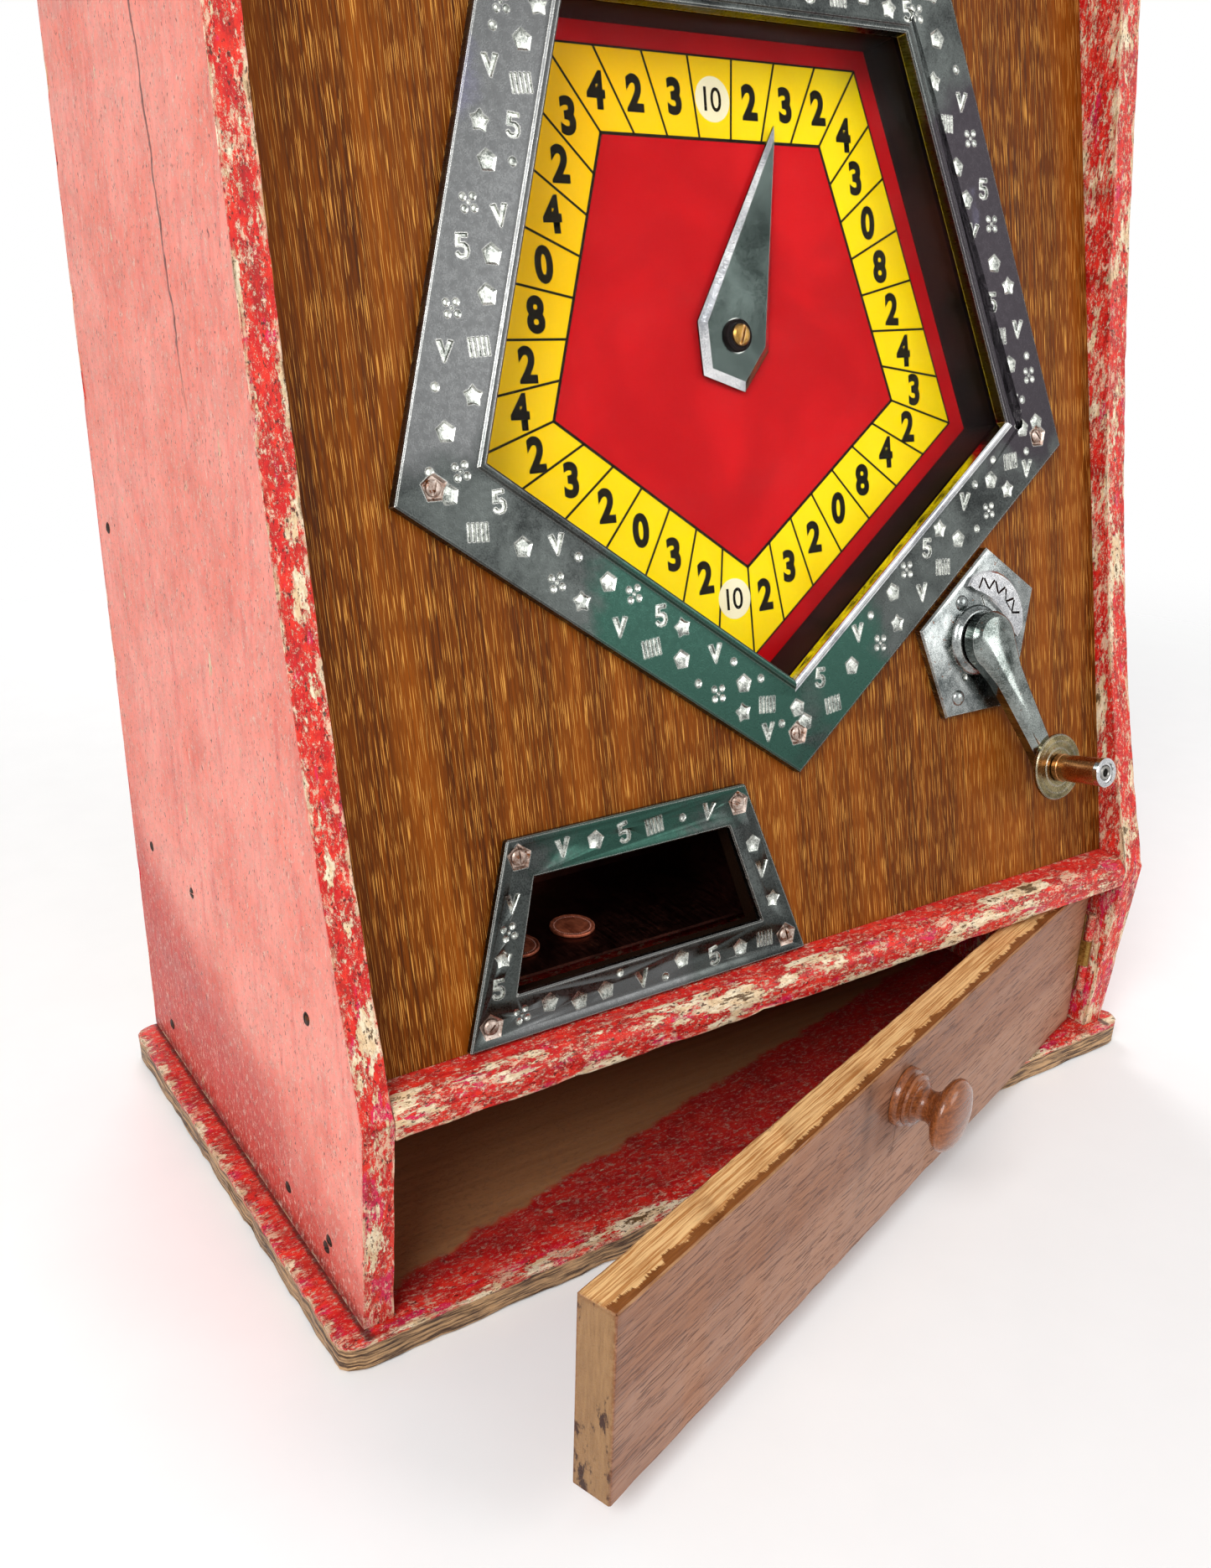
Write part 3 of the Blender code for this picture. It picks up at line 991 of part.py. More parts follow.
# ---------------------------------------------------------------- doors
def hinge(prefix, hinge_frame, door_frame, low, height):
    """A butt hinge: the case leaf has the end knuckles, the door leaf the middle one."""
    third = height / 3
    top = low + height
    start = KNUCKLE_RADIUS + LEAF_TO_KNUCKLE

    def leaf(name, near, far, frame, barrels):
        item = box(name, BRASS, (near, start, low), (far, LEAF_WIDTH, top), parent=frame)
        for place, (foot, head) in enumerate(barrels):
            tab = box(f"{name}_tab_{place}", None, (near, 0, foot), (far, start + OVERLAP, head),
                      parent=frame)
            join(item, tab,
                 rod(f"{name}_knuckle_{place}", None, KNUCKLE_RADIUS, foot, head, parent=frame, sides=16))
        cut(item, rod(f"{name}_bore", None, PIN_RADIUS + FIT, low - THROUGH, top + THROUGH,
                      parent=frame, sides=12))

    case_near = PIN_TO_SIDE - GAP - LEAF_THICKNESS
    leaf(prefix + "_case_leaf", case_near, case_near + LEAF_THICKNESS, hinge_frame,
         ((low, low + third - GAP), (low + 2 * third + GAP, top)))
    door_near = -PIN_TO_DOOR_END + GAP
    leaf(prefix + "_door_leaf", door_near, door_near + LEAF_THICKNESS, door_frame,
         ((low + third, low + 2 * third),))
    rod(prefix + "_pin", STEEL, PIN_RADIUS, low + PIN_INSET, top - PIN_INSET, parent=hinge_frame, sides=12)


def compartment_door():
    door = box("door", DOOR_OAK, (-PIN_TO_DOOR_END - DOOR_LENGTH, PIN_TO_FACE, DOOR_BOTTOM),
               (-PIN_TO_DOOR_END, PIN_TO_FACE + DOOR_THICKNESS, DOOR_TOP), parent=door_axis)
    bevel(door, DOOR_BEVEL, 1)
    place = {"location": (-KNOB_FROM_HINGE, PIN_TO_FACE, DOOR_TOP - KNOB_BELOW_DOOR_TOP),
             "rotation": (math.radians(90), 0, 0), "parent": door_axis}
    way = KNOB_SCREW_RADIUS + FIT
    cut(door, rod("knob_screw_way", None, way, -DOOR_THICKNESS - THROUGH, THROUGH, sides=12, **place))
    head = [(0, 0), (0.45 * KNOB_RADIUS, -0.8 * MM), (0.82 * KNOB_RADIUS, -4 * MM),
            (KNOB_RADIUS, -9.5 * MM), (0.93 * KNOB_RADIUS, -14 * MM), (1.2 * KNOB_NECK_RADIUS, -21 * MM),
            (KNOB_NECK_RADIUS, -27 * MM)]
    foot = [(1.12 * KNOB_NECK_RADIUS, 9 * MM), (0.91 * KNOB_FOOT_RADIUS, 7 * MM),
            (KNOB_FOOT_RADIUS, 4.5 * MM), (KNOB_FOOT_RADIUS, GAP), (0, GAP)]
    knob = turned("door_knob", KNOB_WOOD,
                  [*[(radius, KNOB_LENGTH + height) for radius, height in head], *foot], **place)
    cut(knob, rod("knob_bore", None, way, -THROUGH, KNOB_SCREW_DEPTH + OVERLAP, sides=12, **place))
    seat = -DOOR_THICKNESS - GAP
    head_end = seat - KNOB_SCREW_HEAD_HEIGHT
    turned("knob_screw", STEEL,
           [(0, KNOB_SCREW_DEPTH), (KNOB_SCREW_RADIUS, KNOB_SCREW_DEPTH), (KNOB_SCREW_RADIUS, seat),
            (KNOB_SCREW_HEAD_RADIUS, seat), (0.9 * KNOB_SCREW_HEAD_RADIUS, head_end), (0, head_end)],
           steps=12, **place)
    hinge_foot = (DOOR_BOTTOM + DOOR_TOP - DOOR_HINGE_HEIGHT) / 2
    hinge("door_hinge", door_hinge, door_axis, hinge_foot, DOOR_HINGE_HEIGHT)


def back_door():
    door = box("back_door", PLYWOOD, (-PIN_TO_DOOR_END - DOOR_LENGTH, PIN_TO_FACE, BACK_BOTTOM),
               (-PIN_TO_DOOR_END, PIN_TO_FACE + BACK_THICKNESS, BACK_TOP), parent=back_axis)
    cut(door, rod("lock_way", None, LOCK_RADIUS + FIT, -BACK_THICKNESS - THROUGH, THROUGH, parent=lock_axis))
    hinge_foot = (BACK_BOTTOM + BACK_TOP - BACK_HINGE_HEIGHT) / 2
    hinge("back_hinge", back_hinge, back_axis, hinge_foot, BACK_HINGE_HEIGHT)
    inside = -BACK_THICKNESS
    bore = LOCK_PLUG_RADIUS + FIT
    rim = LOCK_RADIUS + LOCK_RIM
    turned("lock_barrel", BRASS,
           [(bore, LOCK_RIM_HEIGHT), (rim, LOCK_RIM_HEIGHT), (rim, GAP), (LOCK_RADIUS, GAP),
            (LOCK_RADIUS, inside), (bore, inside)],
           closed=True, parent=lock_axis)
    cam_front = inside - GAP
    cam_back = cam_front - CAM_THICKNESS
    plug = rod("lock_cam", STEEL, LOCK_PLUG_RADIUS, cam_back, LOCK_PLUG_HEIGHT, parent=lock_axis)
    cam = rectangle(-CAM_LENGTH, -CAM_HALF_WIDTH, 0, CAM_HALF_WIDTH)
    join(plug, plate("cam_plate", None, [cam], cam_back, cam_front, parent=lock_axis))
    cut(plug, box("key_slot", None,
                  (-KEY_SLOT_WIDTH / 2, -KEY_SLOT_LENGTH / 2, LOCK_PLUG_HEIGHT - KEY_SLOT_DEPTH),
                  (KEY_SLOT_WIDTH / 2, KEY_SLOT_LENGTH / 2, LOCK_PLUG_HEIGHT + THROUGH), parent=lock_axis))


case()
front_panel()
dial()
pointer()
gear_train()
crank()
payout()
coin_entry()
compartment_door()
back_door()
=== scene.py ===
# %% [markdown]
# # A penny dial machine
# The object is a counter-top amusement machine: a red wooden case, an oak front that leans back,
# a five-sided metal frame round a number dial, a crank, a payout tray and a small compartment
# with its door ajar. The solids come from a CAD pack and stay where they are. This lesson gives
# each of them its finish, and replaces the ones whose real shape has finer detail.

# %% Load the machine
import json
import math

import bmesh
import bpy
from mathutils import Matrix, Vector, noise

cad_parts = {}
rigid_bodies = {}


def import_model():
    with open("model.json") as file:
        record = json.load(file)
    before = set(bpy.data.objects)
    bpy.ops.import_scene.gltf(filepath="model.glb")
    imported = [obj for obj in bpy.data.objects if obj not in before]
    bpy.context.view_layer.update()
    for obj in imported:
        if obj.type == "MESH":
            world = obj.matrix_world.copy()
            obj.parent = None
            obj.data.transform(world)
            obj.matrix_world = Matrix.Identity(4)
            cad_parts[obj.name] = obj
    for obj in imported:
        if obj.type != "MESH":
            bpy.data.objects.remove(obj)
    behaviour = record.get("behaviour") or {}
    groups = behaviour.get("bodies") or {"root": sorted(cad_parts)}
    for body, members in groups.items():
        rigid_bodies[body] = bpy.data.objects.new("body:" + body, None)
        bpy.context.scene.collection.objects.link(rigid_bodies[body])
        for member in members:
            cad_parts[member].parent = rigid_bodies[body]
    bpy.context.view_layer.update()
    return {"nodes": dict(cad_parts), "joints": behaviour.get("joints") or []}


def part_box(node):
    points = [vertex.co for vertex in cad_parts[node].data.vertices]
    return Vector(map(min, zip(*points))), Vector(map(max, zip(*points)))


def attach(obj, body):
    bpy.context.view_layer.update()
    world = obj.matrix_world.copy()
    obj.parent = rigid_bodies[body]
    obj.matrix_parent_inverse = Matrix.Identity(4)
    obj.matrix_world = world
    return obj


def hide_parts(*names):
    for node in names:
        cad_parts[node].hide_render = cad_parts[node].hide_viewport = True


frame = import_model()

MM = 0.001
nodes = frame["nodes"]

# %% [markdown]
# ## The two places everything is set out from
# The panel leans back, and the dial, the frame and the plates lie flat on it. So most places are
# easiest to give as across, up the panel, and out from the panel. The pointer's joint gives the
# middle of the dial and the direction that points out of the panel. A place on the panel is
# written in millimetres, and PANEL_MM takes it to the machine's own metres.

# %% The leaning panel as a coordinate frame
joints = {joint["name"]: joint for joint in frame["joints"]}


def stand(origin, out):
    """A frame whose Z points out of the panel and whose X is level."""
    out = Vector(out).normalized()
    across = Vector((1, 0, 0))
    up = out.cross(across)
    return Matrix.Translation(origin) @ Matrix((across, up, out)).transposed().to_4x4()


dial_axis = joints["pointer_spin"]
PANEL = stand(dial_axis["pos_m"], dial_axis["axis"])
CRANK_REST = math.radians(-60.9)
crank_place = PANEL.inverted() @ Vector(joints["crank_turn"]["pos_m"])
CRANK = PANEL @ Matrix.Translation((crank_place.x, crank_place.y, 0))
ARM = CRANK @ Matrix.Rotation(CRANK_REST, 4, "Z")
grip_place = ARM.inverted() @ Vector(joints["grip_spin"]["pos_m"])
GRIP = ARM @ Matrix.Translation((grip_place.x, grip_place.y, 0))
POINTER_REST = math.radians(-19.5)
POINTER = PANEL @ Matrix.Rotation(POINTER_REST, 4, "Z")
DOOR_AJAR = math.radians(18.2)
door_pin = joints["door_swing"]["pos_m"]
DOOR = Matrix.Translation(door_pin) @ Matrix.Rotation(DOOR_AJAR, 4, "Z")
IN_MM = Matrix.Scale(MM, 4)
PANEL_MM = PANEL @ IN_MM
print("crank on the panel, mm:", [round(value / MM, 1) for value in crank_place])

# %% [markdown]
# ## Camera
# The camera stands in front, to the left and a little above, and looks down at the machine. It is
# given as a place and three directions, which become the columns of its matrix.

# %% Camera


def link_object(name, data):
    """Makes an object of some data and puts it in the scene."""
    item = bpy.data.objects.new(name, data)
    bpy.context.scene.collection.objects.link(item)
    return item


camera_data = bpy.data.cameras.new("camera")
camera = link_object("camera", camera_data)
bpy.context.scene.camera = camera
CAMERA_PLACE = (-0.5073, -0.6929, 0.5489)
look = Vector((0.516, 0.762, -0.391)).normalized()
right = look.cross(Vector((0.197, 0.339, 0.920))).normalized()
head = right.cross(look)
columns = Matrix((right, head, -look)).transposed().to_4x4()
camera.matrix_world = Matrix.Translation(CAMERA_PLACE) @ columns
camera_data.sensor_width = 36
camera_data.lens = 31.93
camera_data.shift_x = 0.0026
camera_data.shift_y = 0.0162
camera_data.clip_start = 0.01
print("camera at", tuple(round(value, 3) for value in camera.location))

# %% [markdown]
# ## A builder for finishes
# Every finish below is a tree of shader nodes. Building one takes the same few steps again and
# again: add a node, set it, feed its sockets. A small class takes those steps, so that a finish
# reads as a list of patterns: noise of some size, the part of it to keep, and what to mix in there.

# %% The finish class


class Finish:
    """A material in the making. Each call adds one node and hands back what comes out of it."""

    def __init__(self, name):
        self.material = bpy.data.materials.new(name)
        self.material.use_nodes = True
        self.tree = self.material.node_tree
        self.shader = self.tree.nodes["Principled BSDF"]
        self.output = self.tree.nodes["Material Output"]
        self.coordinates = self.node("ShaderNodeTexCoord")
        self.place = self.coordinates.outputs["Object"]

    def node(self, kind, sockets=(), **settings):
        """Adds a node. sockets pairs a socket's name or number with what it is fed."""
        made = self.tree.nodes.new(kind)
        for key, value in settings.items():
            setattr(made, key, value)
        for key, value in dict(sockets).items():
            self.feed(made.inputs[key], value)
        return made

    def feed(self, socket, value):
        if isinstance(value, bpy.types.NodeSocket):
            self.tree.links.new(value, socket)
        elif socket.type == "RGBA":
            socket.default_value = (*value, 1)
        else:
            socket.default_value = value

    def math(self, operation, first, second=0.0):
        return self.node("ShaderNodeMath", {0: first, 1: second}, operation=operation).outputs[0]

    def plus(self, first, second):
        return self.math("ADD", first, second)

    def times(self, first, second):
        return self.math("MULTIPLY", first, second)

    def turned(self, turn, centre):
        """Turns the coordinates, so a pattern follows a board that leans or stands askew."""
        sockets = {"Vector": self.place, "Location": centre, "Rotation": turn}
        self.place = self.node("ShaderNodeMapping", sockets, vector_type="TEXTURE").outputs[0]

    def grain(self, size, detail=3.0, rough=0.55, offset=(0, 0, 0), bend=0.0):
        """Noise whose features are about size (x, y, z) in metres."""
        scale = tuple(1 / value for value in size)
        mapping = {"Vector": self.place, "Scale": scale, "Location": offset}
        place = self.node("ShaderNodeMapping", mapping).outputs[0]
        look = {"Scale": 1.0, "Detail": detail, "Roughness": rough, "Distortion": bend}
        return self.node("ShaderNodeTexNoise", {"Vector": place, **look}).outputs["Fac"]

    def span(self, value, low, high, to_low=0.0, to_high=1.0):
        """Maps low..high to 0..1 (or any other pair), easing in and out, and holds the ends."""
        sockets = enumerate((value, low, high, to_low, to_high))
        return self.node("ShaderNodeMapRange", sockets, interpolation_type="SMOOTHSTEP").outputs[0]

    def patches(self, size, low, high, detail=3.0, rough=0.55, share=1.0, offset=(0, 0, 0)):
        """Patches of noise: nothing where it is below low, and the whole share above high."""
        return self.span(self.grain(size, detail, rough, offset), low, high, 0.0, share)

    def mix(self, share, first, second):
        return self.node("ShaderNodeMix", {0: share, 6: first, 7: second}, data_type="RGBA").outputs[2]

    def axis(self, name):
        """One of X, Y, Z of the place on the object."""
        return self.node("ShaderNodeSeparateXYZ", {0: self.place}).outputs[name]

    def dot(self, first, second):
        made = self.node("ShaderNodeVectorMath", {0: first, 1: second}, operation="DOT_PRODUCT")
        return made.outputs["Value"]

    def facing(self, direction):
        """How squarely the surface faces a direction, from -1 to 1."""
        return self.dot(self.coordinates.outputs["Normal"], direction)

    def arris(self, radius):
        """1 on and near sharp outer edges, where hands and knocks wear a finish."""
        bevel = self.node("ShaderNodeBevel", {"Radius": radius}, samples=4)
        geometry = self.node("ShaderNodeNewGeometry")
        return self.span(self.dot(bevel.outputs[0], geometry.outputs["Normal"]), 0.995, 0.8)

    def bump(self, height, distance, strength):
        sockets = {"Height": height, "Distance": distance, "Strength": strength}
        self.feed(self.shader.inputs["Normal"], self.node("ShaderNodeBump", sockets).outputs[0])

    def blend(self, share, first, second):
        """Shows a mixture of two shaders."""
        mixed = self.node("ShaderNodeMixShader", {0: share, 1: first.outputs[0], 2: second.outputs[0]})
        self.feed(self.output.inputs["Surface"], mixed.outputs[0])

    def done(self, colour, roughness, metallic=0.0, specular=0.5):
        self.feed(self.shader.inputs["Base Color"], colour)
        self.feed(self.shader.inputs["Roughness"], roughness)
        self.feed(self.shader.inputs["Metallic"], metallic)
        self.feed(self.shader.inputs["Specular IOR Level"], specular)
        return self.material


def srgb(red, green, blue):
    """A colour as it looks on a screen, 0 to 255, made the linear one that shaders want."""
    def one(value):
        value /= 255
        return value / 12.92 if value <= 0.04045 else ((value + 0.055) / 1.055) ** 2.4
    return (one(red), one(green), one(blue))


def tune(material, socket, value):
    """Sets one constant on a finished material's own shader."""
    material.node_tree.nodes["Principled BSDF"].inputs[socket].default_value = value


def give(material, *names):
    """Puts a material on CAD nodes."""
    for name in names:
        mesh = nodes[name].data
        mesh.materials.clear()
        mesh.materials.append(material)


# %% [markdown]
# ## Floor and light
# A pale floor that fades out to a white surround has no horizon. The fade mixes in a see-through
# shader with the distance from the middle, so the floor keeps the shadow near the machine. The
# surround is white to the eye and in the metal, and dimmer as a light, so that the soft lamps
# decide how the object is lit.

# %% Floor, surround and lamps
floor_mesh = bpy.data.meshes.new("floor")
FLOOR_HALF = 6.0
FLOOR_DROP = 0.4 * MM
FADE_STARTS, FADE_ENDS = 0.7, 1.9
signs = ((-1, -1), (1, -1), (1, 1), (-1, 1))
floor_corners = [(x * FLOOR_HALF, y * FLOOR_HALF, -FLOOR_DROP) for x, y in signs]
floor_mesh.from_pydata(floor_corners, [], [(0, 1, 2, 3)])
floor = link_object("floor", floor_mesh)
pale = Finish("pale_floor")
from_middle = pale.node("ShaderNodeVectorMath", {0: pale.place}, operation="LENGTH").outputs["Value"]
pale.done(pale.mix(pale.grain((0.05, 0.05, 0.05)), (0.93, 0.93, 0.93), (0.97, 0.97, 0.97)), 0.9)
fade = pale.span(from_middle, FADE_STARTS, FADE_ENDS)
pale.blend(fade, pale.shader, pale.node("ShaderNodeBsdfTransparent"))
floor.data.materials.append(pale.material)

world = bpy.data.worlds.new("surround")
bpy.context.scene.world = world
world.use_nodes = True
sky = world.node_tree
paths = sky.nodes.new("ShaderNodeLightPath")
seen = paths.outputs["Is Camera Ray"]
for kind in ("Is Glossy Ray", "Is Transmission Ray"):
    adder = sky.nodes.new("ShaderNodeMath")
    adder.operation = "ADD"
    adder.use_clamp = True
    sky.links.new(seen, adder.inputs[0])
    sky.links.new(paths.outputs[kind], adder.inputs[1])
    seen = adder.outputs[0]
SURROUND_LIGHT = 0.42
strength = sky.nodes.new("ShaderNodeMapRange")
strength.inputs["To Min"].default_value = SURROUND_LIGHT
strength.inputs["To Max"].default_value = 1.0
sky.links.new(seen, strength.inputs["Value"])
backdrop = sky.nodes["Background"]
backdrop.inputs["Color"].default_value = (1, 1, 1, 1)
sky.links.new(strength.outputs[0], backdrop.inputs["Strength"])


def softbox(name, place, target, size, watts):
    lamp = bpy.data.lights.new(name, "AREA")
    lamp.shape = "DISK"
    lamp.size = size
    lamp.energy = watts
    item = link_object(name, lamp)
    item.location = place
    item.rotation_euler = (Vector(target) - Vector(place)).to_track_quat("-Z", "Y").to_euler()


AIM = (0, 0, 0.4)
softbox("key_lamp", (-2.0, -1.6, 2.2), AIM, 1.6, 76)
softbox("fill_lamp", (1.8, -2.4, 1.4), AIM, 1.8, 30)
softbox("back_lamp", (0.6, 2.4, 2.2), AIM, 1.8, 34)
bpy.context.scene.view_settings.view_transform = "Standard"

# %% [markdown]
# ## Red paint
# The case was painted red more than once: a pink-red over cream primer over bare wood. Years of
# knocks took the paint off in flakes, most of all at the edges, and left magenta where an older
# coat shows. Fractal noises stretched along the board choose the specks, crumbs and flakes. A
# bevel node finds the edges, so that the flakes crowd there. The broad outer faces have faded to
# pink, and stay dark red towards the foot, and one of them has a long crack.

# %% Red paint, worn
CREAM = srgb(244, 226, 194)
RED = srgb(200, 22, 24)
ORANGE_RED = srgb(226, 50, 34)
PINK = srgb(248, 150, 134)
MAGENTA = srgb(196, 8, 58)
SOOT = srgb(60, 26, 20)
CHIPPED_WOOD = srgb(104, 78, 48)
FRONT_LEAN = -0.36
CRACK_Y, CRACK_Z, CRACK_LINE = 0.985, -0.1716, -0.0868


def stretcher(along):
    """Gives sizes (x, y, z) that are long on one axis and small on the other two."""
    def stretched(small, long):
        return tuple(long if axis == along else small for axis in "XYZ")
    return stretched


def knocked_front(node, reach):
    """Picks the strip of a level board within reach of its front, where hands and the door knock it."""
    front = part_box(node)[0].y

    def strip(paint, edge):
        near = paint.span(paint.axis("Y"), front + reach, front + 0.8 * reach)
        return paint.math("MAXIMUM", near, edge)
    return strip


def narrow_faces(paint, edge):
    """Picks every face of an upright board but the broad outer one."""
    side = paint.math("SIGN", paint.axis("X"))
    broad = paint.span(paint.times(side, paint.facing((1, 0, 0))), 0.5, 0.95)
    return paint.math("MAXIMUM", paint.math("SUBTRACT", 1.0, broad), paint.times(edge, 0.7))


def faded_side(paint, blotch, tone):
    """The broad outer face: pink above, dark red below a ragged line, and darker at the very foot."""
    rise = paint.plus(paint.axis("Z"), paint.times(paint.axis("Y"), FRONT_LEAN))
    clean = paint.span(paint.plus(rise, paint.times(blotch, 0.08)), 0.10, 0.19)
    pink = paint.mix(paint.span(blotch, 0.35, 0.65), srgb(238, 128, 110), PINK)
    side = paint.mix(clean, paint.mix(tone, srgb(170, 30, 26), srgb(216, 78, 64)), pink)
    streaks = paint.patches((0.01, 0.01, 0.07), 0.5, 0.72, 4, 0.6, 0.5)
    side = paint.mix(streaks, side, srgb(216, 88, 82))
    foot = paint.plus(paint.axis("Z"), paint.times(tone, -0.02))
    return paint.mix(paint.span(foot, 0.020, 0.008, 0, 0.8), side, srgb(110, 24, 20))


def long_crack(paint, tone):
    """A crack down the left side, along a line given by its normal's Y and Z and its distance."""
    across = paint.plus(paint.times(paint.axis("Y"), CRACK_Y), paint.times(paint.axis("Z"), CRACK_Z))
    across = paint.plus(across, paint.times(tone, 0.006))
    away = paint.math("ABSOLUTE", paint.plus(across, -CRACK_LINE))
    crack = paint.times(paint.span(away, 0.0016, 0.0006), paint.span(paint.axis("Z"), 0.44, 0.50))
    return paint.times(crack, paint.span(paint.axis("X"), -0.29, -0.2915))


def red_paint(name, along, strip_of, faded=False, flaking=0.5, raw_below=None, bare=None,
              grime_share=0.15):
    """Old red paint whose flakes run along one axis ("X", "Y" or "Z"). strip_of picks where it is
    knocked most, raw_below is the height under which wood layers show, and bare adds bare boards."""
    paint = Finish(name)
    stretched = stretcher(along)
    edge = paint.arris(0.004)
    strip = strip_of(paint, edge)
    blotch = paint.grain((0.07, 0.07, 0.07), 4)
    tone = paint.grain(stretched(0.004, 0.012), 4, 0.65, offset=(1, 5, 3))
    specks = paint.patches(stretched(0.0026, 0.005), 0.54, 0.58, 6, 0.9)
    crumbs = paint.patches(stretched(0.010, 0.024), 0.555, 0.58, 8, 0.85, offset=(6, 3, 1))
    flakes = paint.grain(stretched(0.016, 0.05), 9, 0.76, offset=(3, 1, 2))
    dirt = paint.grain(stretched(0.0016, 0.0034), 2, 0.6, offset=(9, 4, 6))
    base = paint.mix(paint.span(tone, 0.4, 0.62), RED, ORANGE_RED)
    speck_colour = CREAM
    if faded:
        base = paint.mix(strip, faded_side(paint, blotch, tone), base)
        speck_colour = paint.mix(strip, srgb(255, 214, 196), CREAM)
    older = paint.grain(stretched(0.009, 0.028), 3, 0.6, offset=(7, 2, 5))
    low_down = paint.span(paint.axis("Z"), 0.17, 0.13, 0.0, 0.09)
    older = paint.span(paint.plus(older, low_down), 0.62, 0.655)
    older_colour = paint.mix(tone, MAGENTA, srgb(232, 44, 96))
    base = paint.mix(paint.times(older, strip), base, older_colour)
    grime = paint.patches((0.022, 0.022, 0.022), 0.46, 0.6, 7, 0.8, offset=(4, 4, 4))
    base = paint.mix(paint.times(grime, grime_share), base, srgb(112, 24, 18))
    shade = paint.patches(stretched(0.007, 0.02), 0.5, 0.58, 8, 0.85, 0.55, (11, 2, 3))
    base = paint.mix(paint.times(shade, strip), base, srgb(122, 16, 14))
    speck_share = paint.plus(paint.times(strip, 0.1), 0.65)
    base = paint.mix(paint.times(specks, speck_share), base, speck_colour)
    crumb_share = paint.plus(paint.times(strip, 0.8), 0.1)
    crumb_colour = paint.mix(tone, srgb(214, 150, 118), speck_colour)
    base = paint.mix(paint.times(crumbs, crumb_share), base, crumb_colour)
    loss = paint.plus(flakes, paint.times(strip, 0.07 + 0.06 * flaking))
    loss = paint.plus(loss, paint.times(edge, 0.06))
    gone = paint.span(loss, 0.64, 0.66)
    base = paint.mix(gone, base, paint.mix(paint.span(tone, 0.4, 0.6), srgb(226, 194, 152), CREAM))
    base = paint.mix(paint.span(loss, 0.725, 0.74), base, CHIPPED_WOOD)
    soiled = paint.plus(dirt, paint.times(strip, 0.03))
    base = paint.mix(paint.span(soiled, 0.64, 0.7, 0, 0.85), base, SOOT)
    chips = paint.patches(stretched(0.005, 0.016), 0.66, 0.675, 7, 0.8, offset=(2, 8, 5))
    base = paint.mix(paint.times(chips, 0.75), base, srgb(96, 46, 38))
    if faded:
        base = paint.mix(paint.times(long_crack(paint, tone), 0.85), base, SOOT)
    if raw_below is not None:
        low = paint.plus(paint.axis("Z"), paint.times(flakes, -0.008))
        layers = paint.patches((0.03, 0.03, 0.0016), 0.4, 0.6, 5, 0.7)
        wood = paint.mix(layers, srgb(66, 42, 28), srgb(196, 156, 112))
        base = paint.mix(paint.span(low, raw_below, raw_below - 0.0012), base, wood)
    if bare is not None:
        base = bare(paint, base)
    paint.bump(paint.math("SUBTRACT", paint.times(specks, 0.6), gone), 0.0010, 0.6)
    return paint.done(base, paint.span(tone, 0.3, 0.7, 0.36, 0.6), specular=0.3)


FLOOR_SLANT = 0.22
FLOOR_LINE = -0.080
base_low, base_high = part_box("base_board")
side_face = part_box("right_side")[1].x
INNER_WALL = 0.275


def compartment_floor(paint, base):
    """Bare boards behind a slanting line, red in front of it, and only between the side boards."""
    edge_y = paint.plus(paint.axis("Y"), paint.times(paint.axis("X"), -FLOOR_SLANT))
    edge_y = paint.plus(edge_y, paint.times(paint.grain((0.02, 0.02, 0.02)), 0.02))
    behind = paint.span(edge_y, FLOOR_LINE - 0.002, FLOOR_LINE + 0.004)
    off_centre = paint.math("ABSOLUTE", paint.axis("X"))
    inside = paint.span(off_centre, INNER_WALL + 0.0001, INNER_WALL - 0.0001)
    on_top = paint.span(paint.facing((0, 0, 1)), 0.5, 0.9)
    # A dark band along the foot of each side board: dirt and painted shade under the side.
    joint = paint.math("ABSOLUTE", paint.math("SUBTRACT", off_centre, side_face))
    joint = paint.plus(joint, paint.times(paint.grain((0.006, 0.012, 0.006), 5, 0.8), 0.008))
    joint_dirt_and_shade = paint.times(paint.span(joint, 0.0075, 0.005), on_top)
    base = paint.mix(paint.times(joint_dirt_and_shade, 0.8), base, SOOT)
    # The floor inside the compartment is darker red: painted shade and dirt.
    past_rim = paint.span(paint.axis("Y"), base_low.y + 0.012, base_low.y + 0.03)
    floor_shade_and_dirt = paint.times(paint.times(inside, on_top), past_rim)
    base = paint.mix(paint.times(floor_shade_and_dirt, 0.5), base, srgb(104, 14, 16))
    wood = paint.mix(paint.grain((0.12, 0.004, 0.004), 4), srgb(128, 84, 52), srgb(176, 128, 84))
    return paint.mix(paint.times(paint.times(behind, inside), on_top), base, wood)


def base_rim(paint, edge):
    """Picks the outer edge of the base board, at its two sides and its front."""
    off_centre = paint.math("ABSOLUTE", paint.axis("X"))
    sides = paint.span(off_centre, base_high.x - 0.009, base_high.x - 0.003)
    front = paint.span(paint.axis("Y"), base_low.y + 0.014, base_low.y + 0.006)
    return paint.math("MAXIMUM", paint.math("MAXIMUM", sides, front), edge)


def only_edges(paint, edge):
    """Picks nothing but the sharp edges."""
    return edge


upright_red = red_paint("red_upright", "Z", narrow_faces, faded=True, flaking=0.4)
rail_red = red_paint("red_rail", "X", knocked_front("shelf", 0.013), flaking=0.75, grime_share=0.4)
top_red = red_paint("red_top", "X", only_edges, flaking=0.6)
base_red = red_paint("red_base", "X", base_rim, flaking=0.7, raw_below=0.0115, bare=compartment_floor,
                     grime_share=0.45)
print("red paints:", upright_red.name, rail_red.name, top_red.name, base_red.name)

